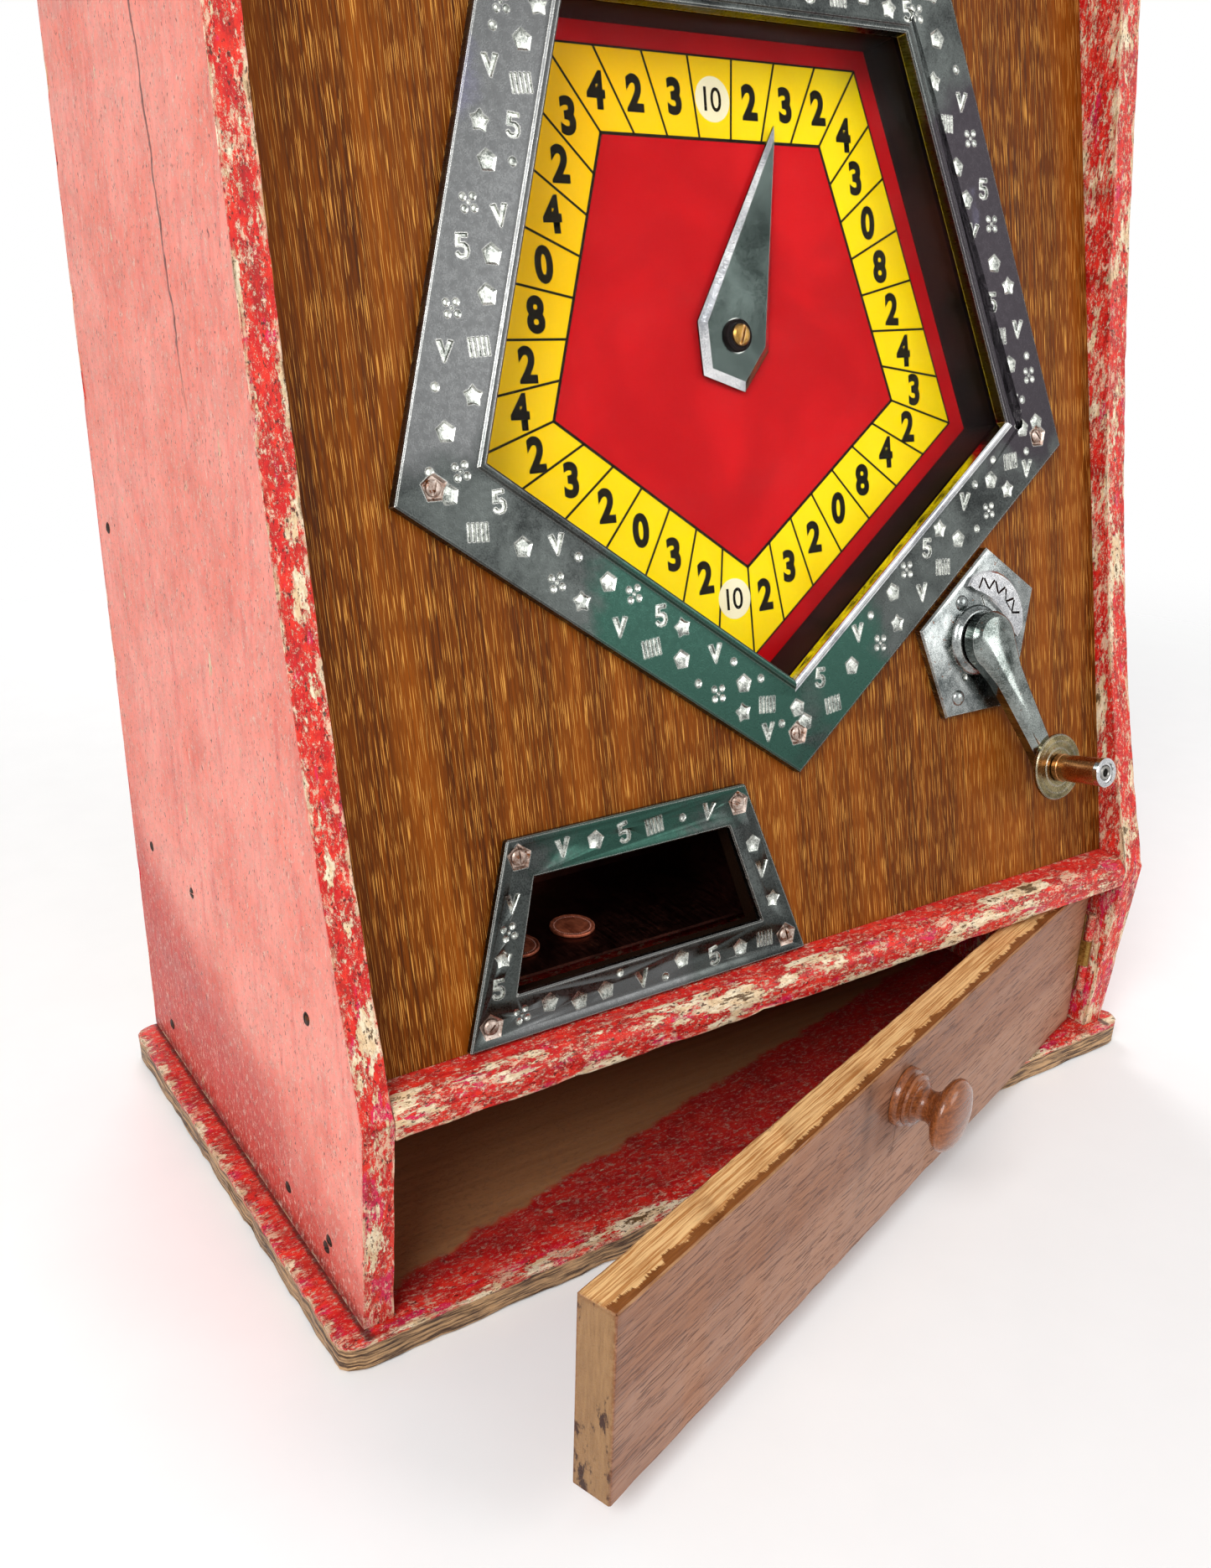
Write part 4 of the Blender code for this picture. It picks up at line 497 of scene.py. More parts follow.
# %% [markdown]
# ## Oak, plywood and the turned knob
# Oak shows long open pores that catch old polish, so they read as short light dashes along the
# grain. The front panel's grain runs upright. The door's runs along it, and the door stands ajar,
# so its pattern is turned by the same angle about its hinge pin. Its top edge and end were never
# polished: they are paler, and darkened only where hands and damp reached them.

# %% Woods


def board_wood(name, along, dark, mid, light, fleck, flecks, gloss=0.42, pore=(0.0009, 0.017), turn=None,
               extra=None, specular=0.2):
    """Wood whose grain runs along one axis. flecks is how strongly the open pores show."""
    wood = Finish(name)
    stretched = stretcher(along)
    if turn is not None:
        wood.turned(*turn)
    broad = wood.grain(stretched(0.03, 0.5), 3)
    streaks = wood.grain(stretched(0.0018, 0.11), 5, 0.75)
    fine = wood.grain(stretched(0.0008, 0.04), 3, 0.6)
    pores = wood.grain(stretched(*pore), 1, 0.5, offset=(5, 3, 8))
    colour = wood.mix(wood.span(streaks, 0.34, 0.62), dark, mid)
    colour = wood.mix(wood.times(wood.span(broad, 0.42, 0.66), 0.75), colour, light)
    colour = wood.mix(wood.span(fine, 0.5, 0.7, 0, 0.6), colour, dark)
    open_pore = wood.span(pores, 0.585, 0.635)
    colour = wood.mix(wood.times(open_pore, flecks), colour, fleck)
    if extra is not None:
        colour = extra(wood, colour)
    wood.bump(wood.math("SUBTRACT", fine, open_pore), 0.0004, 0.5)
    return wood.done(colour, wood.span(streaks, 0.3, 0.7, gloss - 0.08, gloss + 0.14), specular=specular)


LEAN = math.atan2(dial_axis["axis"][2], -dial_axis["axis"][1])


def cut_edges(wood, colour):
    """Where the panel is sawn through, its edges are made nearly black."""
    square_on = wood.span(wood.math("ABSOLUTE", wood.facing(dial_axis["axis"])), 0.6, 0.9)
    return wood.mix(square_on, srgb(30, 17, 9), colour)


oak = board_wood("oak_front", "Z", srgb(62, 26, 3), srgb(117, 58, 7), srgb(142, 73, 12),
                 srgb(216, 152, 70), 0.85, pore=(0.00045, 0.022), specular=0.08,
                 turn=((-LEAN, 0, 0), dial_axis["pos_m"]), extra=cut_edges)
plywood = board_wood("plain_plywood", "Z", srgb(140, 104, 66), srgb(182, 142, 96), srgb(200, 164, 118),
                     srgb(120, 84, 52), 0.4, 0.6)
door_front = min((DOOR.inverted() @ corner.co).y for corner in nodes["door"].data.vertices)


def door_edges(wood, colour):
    """The raw top edge, the end grain with its stain, and the rubbed arris between them."""
    sawn = wood.patches((0.05, 0.0012, 0.004), 0.38, 0.6, 5, 0.7)
    raw = wood.mix(sawn, srgb(182, 122, 66), srgb(240, 196, 136))
    top = wood.span(wood.facing((0, 0, 1)), 0.5, 0.9)
    colour = wood.mix(top, colour, raw)
    ragged = wood.times(wood.grain((0.018, 0.2, 0.2), 8, 0.8, offset=(4, 4, 4)), 0.022)
    behind_front = wood.math("SUBTRACT", wood.math("SUBTRACT", wood.axis("Y"), door_front), ragged)
    handled = wood.times(wood.span(behind_front, -0.0055, -0.0065), top)
    greasy = wood.mix(wood.grain((0.02, 0.001, 0.004), 4), srgb(84, 44, 16), srgb(160, 98, 48))
    colour = wood.mix(handled, colour, greasy)
    endwards = (-math.cos(DOOR_AJAR), -math.sin(DOOR_AJAR), 0)
    end = wood.span(wood.math("ABSOLUTE", wood.facing(endwards)), 0.6, 0.9)
    rings = wood.mix(wood.grain((0.003, 0.0014, 0.012), 4), srgb(118, 84, 54), srgb(176, 136, 92))
    stain = wood.patches((0.012, 0.012, 0.03), 0.55, 0.62, 5, 0.7, offset=(2, 0, 7))
    rings = wood.mix(stain, rings, srgb(62, 34, 24))
    colour = wood.mix(end, colour, rings)
    rubbed = wood.times(wood.arris(0.005), wood.patches((0.016, 0.004, 0.004), 0.42, 0.55, 5, 0.7))
    return wood.mix(rubbed, colour, srgb(116, 64, 28))


with_door = ((0, 0, DOOR_AJAR), door_pin)
door_oak = board_wood("oak_door", "X", srgb(126, 82, 60), srgb(158, 112, 86), srgb(172, 130, 106),
                      srgb(92, 56, 42), 0.75, 0.4, pore=(0.0009, 0.015), turn=with_door, extra=door_edges)
knob_wood = board_wood("turned_knob", "X", srgb(96, 48, 22), srgb(146, 82, 42), srgb(168, 104, 60),
                       srgb(84, 40, 20), 0.4, 0.2, turn=with_door)
tune(knob_wood, "Coat Weight", 0.5)
tune(knob_wood, "Coat Roughness", 0.12)
give(oak, "front_panel")
give(plywood, "compartment_back", "back_door", "payout_block")
give(door_oak, "door")
print("woods:", oak.name, plywood.name, door_oak.name, knob_wood.name)

# %% [markdown]
# ## Metals
# The frame is plated metal that has gone grey: it has fine brushing and cloudy patches. Green,
# violet, grey and dark patches are painted reflections of the room, laid into its colour. One is
# given by its colour, its middle on the panel in millimetres and its reach in metres. A metal's
# colour is what it mirrors, so the aged plate gets a dark, mottled base colour, partly its grey
# plating and partly a painted dark reflection, and the stamped marks a light one. The lip gets a
# light one where a highlight is painted on it. The light sharp edges are partly rubbed plating
# and partly a painted highlight.

# %% Plate, steel, brass and copper


def metal(name, dark, light, patch=0.05, brush=(0.0008, 0.02, 0.0008), rough=(0.2, 0.42), reflections=(),
          rust=0.0, scratches=0.3, edge_light=0.0):
    plate = Finish(name)
    cloud = plate.grain((patch, patch, patch), 5, 0.6, bend=0.5)
    lines = plate.grain(brush, 3, 0.7)
    mottle = plate.grain((0.004, 0.004, 0.004), 5, 0.7, offset=(4, 8, 2))
    share = plate.plus(plate.times(cloud, 0.6), plate.times(lines, 0.4))
    colour = plate.mix(plate.span(share, 0.36, 0.64), dark, light)
    # Each of these patches is a painted reflection of the room, laid into the metal's colour.
    for tint, middle, reach in reflections:
        ends = {0: plate.place, 1: PANEL_MM @ Vector((*middle, 0))}
        away = plate.node("ShaderNodeVectorMath", ends, operation="DISTANCE")
        ragged = plate.plus(away.outputs["Value"], plate.times(cloud, 0.09))
        where = plate.span(ragged, reach + 0.045, reach + 0.02)
        colour = plate.mix(where, colour, plate.mix(lines, tuple(0.7 * value for value in tint), tint))
    if rust:
        spots = plate.span(mottle, 0.66 - 0.12 * rust, 0.72 - 0.1 * rust)
        colour = plate.mix(spots, colour, srgb(104, 58, 30))
    # edge_light lightens the sharp edges: partly rubbed plating, partly a painted highlight.
    if edge_light:
        rubbed = plate.times(plate.arris(0.0012), edge_light)
        colour = plate.mix(rubbed, colour, srgb(225, 224, 218))
    smudge = plate.plus(plate.times(mottle, 0.5), plate.times(lines, 0.5))
    plate.bump(lines, 0.0002, scratches)
    return plate.done(colour, plate.span(smudge, 0.35, 0.65, *rough), 1.0)


# Colours and places of the painted reflections on the frame and the payout plate.
REFLECTED_GREY = srgb(92, 93, 93)
REFLECTED_DARK = srgb(50, 46, 50)
REFLECTED_GREEN = srgb(46, 74, 65)
REFLECTED_VIOLET = srgb(92, 90, 108)
PLATE_REFLECTIONS = ((REFLECTED_GREY, (-205, 70), 0.14), (REFLECTED_GREEN, (-62, -172), 0.095), (REFLECTED_VIOLET, (-185, 125), 0.03),
               (REFLECTED_GREEN, (40, -190), 0.05), (REFLECTED_GREEN, (-130, -262), 0.055), (REFLECTED_DARK, (205, 30), 0.13),
               (REFLECTED_VIOLET, (165, 60), 0.012), (REFLECTED_GREY, (-150, -372), 0.085))
# The plate's dark base colour is partly its grey plating and partly a painted dark reflection.
plate_grey = metal("aged_plate", srgb(27, 29, 29), srgb(74, 78, 76), edge_light=0.8, reflections=PLATE_REFLECTIONS)
silver = metal("bright_mark", srgb(96, 100, 96), srgb(206, 208, 200), patch=0.004, rough=(0.2, 0.36))
bright = metal("polished_plate", srgb(150, 152, 156), srgb(226, 226, 226), patch=0.03, rough=(0.08, 0.22),
               scratches=0.12, edge_light=0.6, rust=0.12)
steel = metal("plain_steel", srgb(110, 108, 104), srgb(170, 168, 162), rough=(0.3, 0.5), rust=0.2)
rusty_steel = metal("rusty_screw", srgb(118, 92, 78), srgb(190, 176, 166), patch=0.006, rough=(0.35, 0.6),
                    rust=0.9)
brass = metal("aged_brass", srgb(132, 96, 44), srgb(196, 156, 84), patch=0.02, rough=(0.25, 0.45),
              edge_light=0.2)
copper = metal("coin_copper", srgb(126, 56, 34), srgb(204, 112, 78), patch=0.006, rough=(0.42, 0.6),
               edge_light=0.2)
tune(copper, "Metallic", 0.55)
sleeve_copper = metal("sleeve_copper", srgb(140, 88, 50), srgb(206, 150, 100), patch=0.02,
                      brush=(0.02, 0.0008, 0.0008), rough=(0.16, 0.34))
tray_brown = metal("tray_steel", srgb(46, 24, 20), srgb(84, 46, 38), patch=0.03, rough=(0.3, 0.55),
                   rust=0.2)
give(steel, *[name for name in nodes if "screw" in name or name.endswith("_pin")])
give(steel, "crank_shaft", "crank_gear", "idler_gear", "idler_stud", "pointer_gear", "pointer_spindle",
     "gear_bridge", "coin_trough", "coin_drop_tube", "payout_slide", "lock_cam")
give(brass, "crank_bush", "spindle_bush", "coin_tube", "lock_barrel", "door_hinge_door_leaf",
     "back_hinge_case_leaf", "back_hinge_door_leaf", "crank_disc", "pointer_screw")
give(tray_brown, "payout_tray")
give(copper, "coin_left", "coin_middle")
give(sleeve_copper, "grip_sleeve")
give(bright, "crank_arm", "escutcheon", "pointer")
give(plate_grey, "coin_slot_plate", "dial_frame", "payout_frame")
give(rail_red, "shelf", "door_hinge_case_leaf", "door_hinge_pin")
give(top_red, "top_board")
give(upright_red, "left_side", "right_side")
give(base_red, "base_board")
give(knob_wood, "door_knob")

# %% [markdown]
# ## Dial colours, the dark well and the glass
# The dial is printed card under glass: enamel red and yellow with black lines. The well round it
# is painted black and dusty. The glass is a see-through shader with a very little mirror mixed in,
# and faint smears, because a real pane is never quite clean.

# %% Print, black paint and glass


def print_ink(name, colour, other, gloss=0.35, upper_left_shade=None, backing=None):
    """Printed card or flat paint. It can take a darker colour at the upper left as painted shade, or
    another colour on its back.
    """
    ink = Finish(name)
    cloud = ink.grain((0.09, 0.09, 0.09), 4, 0.5, bend=1.0)
    specks = ink.patches((0.0012, 0.0012, 0.0012), 0.7, 0.76, 2)
    tone = ink.mix(ink.span(cloud, 0.35, 0.65), colour, other)
    if upper_left_shade is not None:
        slant = ink.plus(ink.axis("X"), ink.times(ink.axis("Z"), -0.8))
        tone = ink.mix(ink.span(slant, -0.36, -0.62), tone, upper_left_shade)
    tone = ink.mix(ink.times(specks, 0.25), tone, srgb(90, 40, 20))
    if backing is not None:
        behind = ink.span(ink.facing(dial_axis["axis"]), 0.2, -0.2)
        tone = ink.mix(behind, tone, ink.mix(cloud, srgb(70, 66, 60), backing))
    ink.bump(cloud, 0.0006, 0.2)
    return ink.done(tone, ink.span(cloud, 0.3, 0.7, gloss, gloss + 0.15), specular=0.02)


dial_red = print_ink("dial_red", srgb(206, 10, 18), srgb(184, 6, 14), backing=srgb(150, 144, 134))
# The yellow turns deeper orange at the upper left: painted shade.
dial_yellow = print_ink("dial_yellow", srgb(255, 226, 8), srgb(250, 214, 0), upper_left_shade=srgb(250, 188, 8))
dial_black = print_ink("dial_black", srgb(20, 16, 10), srgb(34, 28, 18), 0.5)
sticker = print_ink("cream_sticker", srgb(246, 238, 202), srgb(236, 222, 178), 0.6)
black_paint = print_ink("well_black", srgb(18, 14, 14), srgb(44, 24, 22), 0.3)
plaque_gold = metal("plaque_gold", srgb(150, 124, 66), srgb(226, 204, 150), patch=0.02, rough=(0.3, 0.5))
give(dial_red, "dial_plate")
give(black_paint, "dial_well")

glass = Finish("pane_glass")
mirror = glass.node("ShaderNodeBsdfGlossy", {"Roughness": 0.05})
smear = glass.span(glass.grain((0.11, 0.03, 0.05), 4, 0.6, bend=1.5), 0.5, 0.8, 0.0, 0.05)
shine = glass.times(glass.plus(smear, 0.03), 0.035)
glass.blend(shine, glass.node("ShaderNodeBsdfTransparent"), mirror)
give(glass.material, "dial_glass")
print("materials made:", len(bpy.data.materials))

# %% [markdown]
# ## From shapes to pieces
# A new piece is a plain mesh whose place is already in its vertices. It rides on a body of the
# machine and may stand for CAD nodes, which are then hidden.
# Three ways of making a solid cover most of it: a lathe for turned parts, a stack of outlines for
# flat parts with sloping sides, and a merged copy of a CAD node for the wooden boards.

# %% Helpers for pieces


def piece(name, mesh, place, body, slot, *stands_for):
    """Takes a mesh to its place, makes it a piece of the machine and says what it stands for."""
    mesh.transform(place)
    item = link_object(name, mesh)
    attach(item, body)
    if stands_for:
        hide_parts(*stands_for)
    print(f"{name}: {len(mesh.polygons)} faces on {body}")


def to_mesh(name, shape, *materials, smooth=30.0):
    """Ends a bmesh as a mesh with materials, smooth except at edges sharper than the angle."""
    mesh = bpy.data.meshes.new(name)
    shape.to_mesh(mesh)
    shape.free()
    for material in materials:
        mesh.materials.append(material)
    mesh.shade_smooth()
    mesh.set_sharp_from_angle(angle=math.radians(smooth))
    return mesh


def on_circle(radius, angle, x=0.0, y=0.0):
    """A point on a circle about (x, y)."""
    return (x + radius * math.cos(angle), y + radius * math.sin(angle))


def lathe(shape, profile, steps=48, place=Matrix(), turn=0.0, closed=False, index=0):
    """Turns (radius, height) points about Z. Points on the axis close the ends."""
    rings = []
    for radius, height in profile:
        if radius < 1e-7:
            rings.append([shape.verts.new(place @ Vector((0, 0, height)))])
            continue
        spots = [on_circle(radius, turn + 2 * math.pi * step / steps) for step in range(steps)]
        rings.append([shape.verts.new(place @ Vector((*spot, height))) for spot in spots])
    pairs = list(zip(rings, rings[1:]))
    if closed:
        pairs.append((rings[-1], rings[0]))
    for low, high in pairs:
        for step in range(steps):
            after = (step + 1) % steps
            corners = [low[step % len(low)], low[after % len(low)]]
            corners += [high[after % len(high)], high[step % len(high)]]
            shape.faces.new(list(dict.fromkeys(corners))).material_index = index


def inset(outline, amount):
    """Moves every side of an outline inwards, for one whose corners run anticlockwise."""
    made = []
    for here, corner in enumerate(outline):
        before = Vector(outline[here - 1])
        after = Vector(outline[(here + 1) % len(outline)])
        corner = Vector(corner)
        into = (corner - before).normalized()
        away = (after - corner).normalized()
        normal_in = Vector((-into.y, into.x))
        normal_out = Vector((-away.y, away.x))
        lean_to = normal_in + normal_out
        made.append(tuple(corner + lean_to * (amount / max(0.25, 1 + normal_in.dot(normal_out)))))
    return made


def stack(shape, outline, levels, place=Matrix(), peak=None):
    """Joins copies of an outline at (height, inset) levels into a solid. A peak ends it in a point."""
    rings = []
    for height, amount in levels:
        rings.append([shape.verts.new(place @ Vector((x, y, height))) for x, y in inset(outline, amount)])
    count = len(outline)
    for low, high in zip(rings, rings[1:]):
        for step in range(count):
            after = (step + 1) % count
            shape.faces.new((low[step], low[after], high[after], high[step]))
    shape.faces.new(list(reversed(rings[0])))
    if peak is None:
        shape.faces.new(rings[-1])
        return
    middle = sum((Vector(point) for point in outline), Vector((0, 0))) / count
    top = shape.verts.new(place @ Vector((middle.x, middle.y, peak)))
    for step in range(count):
        shape.faces.new((rings[-1][step], rings[-1][(step + 1) % count], top))


def outward(shape):
    """Closes the seams and turns every face outwards."""
    bmesh.ops.remove_doubles(shape, verts=shape.verts, dist=1e-7)
    bmesh.ops.recalc_face_normals(shape, faces=shape.faces)


def turned(name, profile, steps, *materials, smooth=30.0, **how):
    """A lathed solid as one mesh."""
    shape = bmesh.new()
    lathe(shape, profile, steps, **how)
    outward(shape)
    return to_mesh(name, shape, *materials, smooth=smooth)


def stacked(name, outline, levels, material, smooth=30.0):
    """A stacked solid as one mesh."""
    shape = bmesh.new()
    stack(shape, outline, levels)
    outward(shape)
    return to_mesh(name, shape, material, smooth=smooth)


def merged(node):
    """A CAD node's mesh as one closed shape with its flat faces joined up again."""
    shape = bmesh.new()
    shape.from_mesh(nodes[node].data)
    bmesh.ops.remove_doubles(shape, verts=shape.verts, dist=1e-6)
    bmesh.ops.dissolve_limit(shape, angle_limit=math.radians(0.6), verts=shape.verts, edges=shape.edges)
    return shape


def extent(node, back):
    """Lowest and highest corner of a CAD node once a matrix has taken it to another frame."""
    points = [back @ vertex.co for vertex in nodes[node].data.vertices]
    return [Vector([pick(point[axis] for point in points) for axis in range(3)]) for pick in (min, max)]


def polygon(radius, sides=5, start=-90.0):
    return [on_circle(radius, math.radians(start + 360 * side / sides)) for side in range(sides)]


def bar(x, y, width, length):
    """A rectangle about its middle, running anticlockwise."""
    return [(x + sx * width / 2, y + sy * length / 2) for sx, sy in ((-1, -1), (1, -1), (1, 1), (-1, 1))]


# %% [markdown]
# ## Boards with knocked edges
# A board that has stood in a bar for fifty years has no crisp arris. Each painted board is a
# merged copy of its CAD solid: it is sliced across every few millimetres, its sharp edges are
# bevelled, and the new bevel points are pushed in by a noise, so the edge wanders and chips.

# %% Worn boards


SHARP = math.radians(25)
SHORTEST = 2.4 * MM
NOISE_COARSE, NOISE_FINE = 55, 3.1


def worn_board(name, node, slot, material, slices, width=1.5 * MM, chips=1.3 * MM, body="case",
               shift=0.0):
    """Slices a board by (axis, step), bevels its edges and chips them. shift moves it in the noise."""
    shape = merged(node)
    low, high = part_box(node)
    for axis, step in slices:
        normal = Vector((axis == "X", axis == "Y", axis == "Z"))
        start, end = low.dot(normal), high.dot(normal)
        for cut in range(1, int((end - start) / step)):
            everything = shape.verts[:] + shape.edges[:] + shape.faces[:]
            bmesh.ops.bisect_plane(shape, geom=everything, plane_co=normal * (start + cut * step),
                                   plane_no=normal)
    sharp = [edge for edge in shape.edges if len(edge.link_faces) == 2
             and edge.calc_face_angle() > SHARP and edge.calc_length() > SHORTEST]
    made = bmesh.ops.bevel(shape, geom=sharp, offset=width, segments=2, profile=0.55, affect="EDGES",
                           clamp_overlap=True)
    shape.normal_update()
    for vertex in made["verts"]:
        place = (vertex.co + Vector((shift, 0, 0))) * NOISE_COARSE
        depth = max(0.0, noise.noise(place)) + 0.6 * max(0.0, noise.noise(place * NOISE_FINE))
        vertex.co -= vertex.normal * chips * depth
    piece(name, to_mesh(name, shape, material, smooth=40), Matrix(), body, slot, node)


worn_board("left_side_worn", "left_side", "red_paint", upright_red, (("Z", 7 * MM),))
worn_board("right_side_worn", "right_side", "red_paint", upright_red, (("Z", 7 * MM),), shift=2.0)
worn_board("shelf_worn", "shelf", "red_paint", rail_red, (("X", 7 * MM),), shift=4.0)
worn_board("base_worn", "base_board", "red_paint", base_red, (("X", 8 * MM), ("Y", 9 * MM)),
           width=2.2 * MM, chips=2.6 * MM, shift=6.0)
worn_board("top_worn", "top_board", "red_paint", top_red, (("X", 9 * MM), ("Y", 11 * MM)), shift=8.0)
worn_board("door_worn", "door", "door_oak", door_oak, (("X", 8 * MM),), width=0.7 * MM, chips=0.9 * MM,
           body="door", shift=9.0)

# %% [markdown]
# ## A tree that sets things out on points
# Stamped marks, screws, dial lines, beads and numbers are all one small shape put down many
# times. One node tree does it: each point carries which shape to use, its turn and its size, and
# the tree picks that shape from a collection, places it, makes the copies real and gives them
# their finish. A small random turn, from a fixed seed, keeps hand-stamped marks from looking ruled.

# %% The set-out tree


def set_out_tree():
    tree = bpy.data.node_groups.new("set_out_on_points", "GeometryNodeTree")
    kinds = {"Points": "Geometry", "Shapes": "Collection", "Finish": "Material", "Overall Size": "Float",
             "Loose Turn": "Float", "Seed": "Int"}
    for name, kind in kinds.items():
        tree.interface.new_socket(name, in_out="INPUT", socket_type="NodeSocket" + kind)
    tree.interface.new_socket("Result", in_out="OUTPUT", socket_type="NodeSocketGeometry")

    def add(kind, sockets=(), output=0, **settings):
        """Adds a node, feeds its sockets and hands back one of its outputs."""
        made = tree.nodes.new(kind)
        for key, value in settings.items():
            setattr(made, key, value)
        for key, value in dict(sockets).items():
            if isinstance(value, bpy.types.NodeSocket):
                tree.links.new(value, made.inputs[key])
            else:
                made.inputs[key].default_value = value
        return made.outputs[output] if made.outputs else made

    def carried(name, kind):
        return add("GeometryNodeInputNamedAttribute", {"Name": name}, "Attribute", data_type=kind)

    given = tree.nodes.new("NodeGroupInput").outputs
    loose, seed = given["Loose Turn"], given["Seed"]
    shapes = add("GeometryNodeCollectionInfo", {"Collection": given["Shapes"], "Separate Children": True,
                                                "Reset Children": True})
    minus = add("ShaderNodeMath", {0: loose, 1: -1.0}, operation="MULTIPLY")
    chance = add("FunctionNodeRandomValue", {2: minus, 3: loose, "Seed": seed}, 1, data_type="FLOAT")
    spin = add("ShaderNodeCombineXYZ", {"Z": chance})
    turn = add("ShaderNodeVectorMath", {0: carried("turn", "FLOAT_VECTOR"), 1: spin}, operation="ADD")
    sizes = {0: carried("size", "FLOAT_VECTOR"), "Scale": given["Overall Size"]}
    grow = add("ShaderNodeVectorMath", sizes, operation="SCALE")
    copies = add("GeometryNodeInstanceOnPoints", {
        "Points": given["Points"], "Instance": shapes, "Pick Instance": True,
        "Instance Index": carried("kind", "INT"), "Rotation": turn, "Scale": grow})
    real = add("GeometryNodeRealizeInstances", {0: copies})
    coat = add("GeometryNodeSetMaterial", {"Geometry": real, "Material": given["Finish"]})
    add("NodeGroupOutput", {0: coat})
    return tree


SET_OUT = set_out_tree()
SOCKETS = {item.name: item.identifier for item in SET_OUT.interface.items_tree if item.in_out == "INPUT"}
print("set-out inputs:", list(SOCKETS))


def evaluated(name, item):
    """What an object's modifiers make of it, as one plain mesh. The object itself is removed."""
    graph = bpy.context.evaluated_depsgraph_get()
    made = bpy.data.meshes.new_from_object(item.evaluated_get(graph), preserve_all_data_layers=True,
                                           depsgraph=graph)
    made.name = name
    bpy.data.objects.remove(item)
    return made


def put(kind, spot, turn=0.0, size=(1, 1, 1)):
    """One point to set a shape out on."""
    return {"kind": kind, "spot": tuple(spot), "turn": (0.0, 0.0, turn), "size": size}


def set_out(name, shapes, points, material, size=1.0, loose=0.0, seed=1):
    """Sets shapes out on points, each of which names its kind of shape. Gives one plain mesh."""
    folder = bpy.data.collections.new(name + "_shapes")
    kinds = sorted(shapes)
    for kind in kinds:
        folder.objects.link(bpy.data.objects.new(f"{name}_{kind}", shapes[kind]))
    mesh = bpy.data.meshes.new(name + "_points")
    mesh.from_pydata([point["spot"] for point in points], [], [])
    numbers = [kinds.index(point["kind"]) for point in points]
    mesh.attributes.new("kind", "INT", "POINT").data.foreach_set("value", numbers)
    for label in ("turn", "size"):
        values = [value for point in points for value in point[label]]
        mesh.attributes.new(label, "FLOAT_VECTOR", "POINT").data.foreach_set("vector", values)
    item = link_object(name + "_points", mesh)
    modifier = item.modifiers.new("set out", "NODES")
    modifier.node_group = SET_OUT
    inputs = {"Shapes": folder, "Finish": material, "Overall Size": size, "Loose Turn": loose,
              "Seed": seed}
    for label, value in inputs.items():
        modifier[SOCKETS[label]] = value
    made = evaluated(name, item)
    for leftover in ("kind", "turn", "size"):
        if leftover in made.attributes:
            made.attributes.remove(made.attributes[leftover])
    for helper in folder.objects[:]:
        bpy.data.objects.remove(helper)
    bpy.data.collections.remove(folder)
    return made


# %% [markdown]
# ## The stamped marks
# The frame and the payout plate are covered in struck marks: five-sided dents, Vs, four-dot
# flowers, stars, tally bars, small dots and the figure five. Each is a shallow cutter with sloping
# walls and a faceted floor, because it is the facets that catch the light. Cutting them out of the
# plate with a boolean makes real dents, and the cutters hand their brighter finish to the floors.

# %% Cutters for the marks
MARK_DEPTH = 0.9
ABOVE = 0.6


def cutter(name, *dents):
    """One cutter in mm. A dent is (outline, depth, slope) or (outline, depth, slope, peak): it is wide
    at the surface, narrower at its floor, and its floor may end in a point at the peak's depth."""
    shape = bmesh.new()
    down = Matrix.Diagonal((1, 1, -1, 1))
    for outline, depth, slope, *peak in dents:
        stack(shape, outline, ((-ABOVE, -0.15), (0.0, 0.0), (depth, slope)), down, *peak)
    outward(shape)
    return to_mesh(name, shape, silver, smooth=20)


STAR = [on_circle((5.8, 3.9)[place % 2], math.radians(90 + 36 * place)) for place in range(10)]
VEE = [(0.0, -5.6), (5.0, 5.2), (2.0, 5.6), (0.1, 0.2), (-1.7, 5.4), (-4.8, 5.0), (-0.9, -5.4)]
FIVE = [(-3.8, -3.4), (-2.6, -5.2), (0.0, -6.0), (2.9, -5.2), (4.2, -2.6), (3.9, 0.2), (2.0, 1.7),
        (-0.8, 1.6), (-0.6, 4.0), (3.7, 4.2), (3.7, 6.2), (-2.8, 6.0), (-3.4, -0.4), (-0.3, -0.2),
        (1.6, -0.8), (2.0, -2.4), (1.0, -3.8), (-0.8, -3.9), (-2.2, -2.4)]
PETALS = [[(px + x, py + y) for px, py in polygon(2.1, 7, 0)] for x, y in bar(0, 0, 5.6, 5.6)]
MARKS = {"pentagon": [(polygon(5.9, 5, 90), MARK_DEPTH, 1.3, 0.45)],
         "dot": [(polygon(2.5, 8, 0), 0.7, 0.8, 1.0)],
         "vee": [(VEE, MARK_DEPTH, 0.55)],
         "tally": [(bar((place - 2) * 2.6, 0, 1.5, 9.5), 0.6, 0.35) for place in range(5)],
         "flower": [(petal, 0.6, 0.7, 0.9) for petal in PETALS] + [(polygon(1.1, 5, 0), 0.5, 0.4)],
         "star": [(STAR, MARK_DEPTH, 0.9, 0.4)],
         "five": [(FIVE, MARK_DEPTH, 0.4)]}
mark_shapes = {kind: cutter("mark_" + kind, *dents) for kind, dents in MARKS.items()}

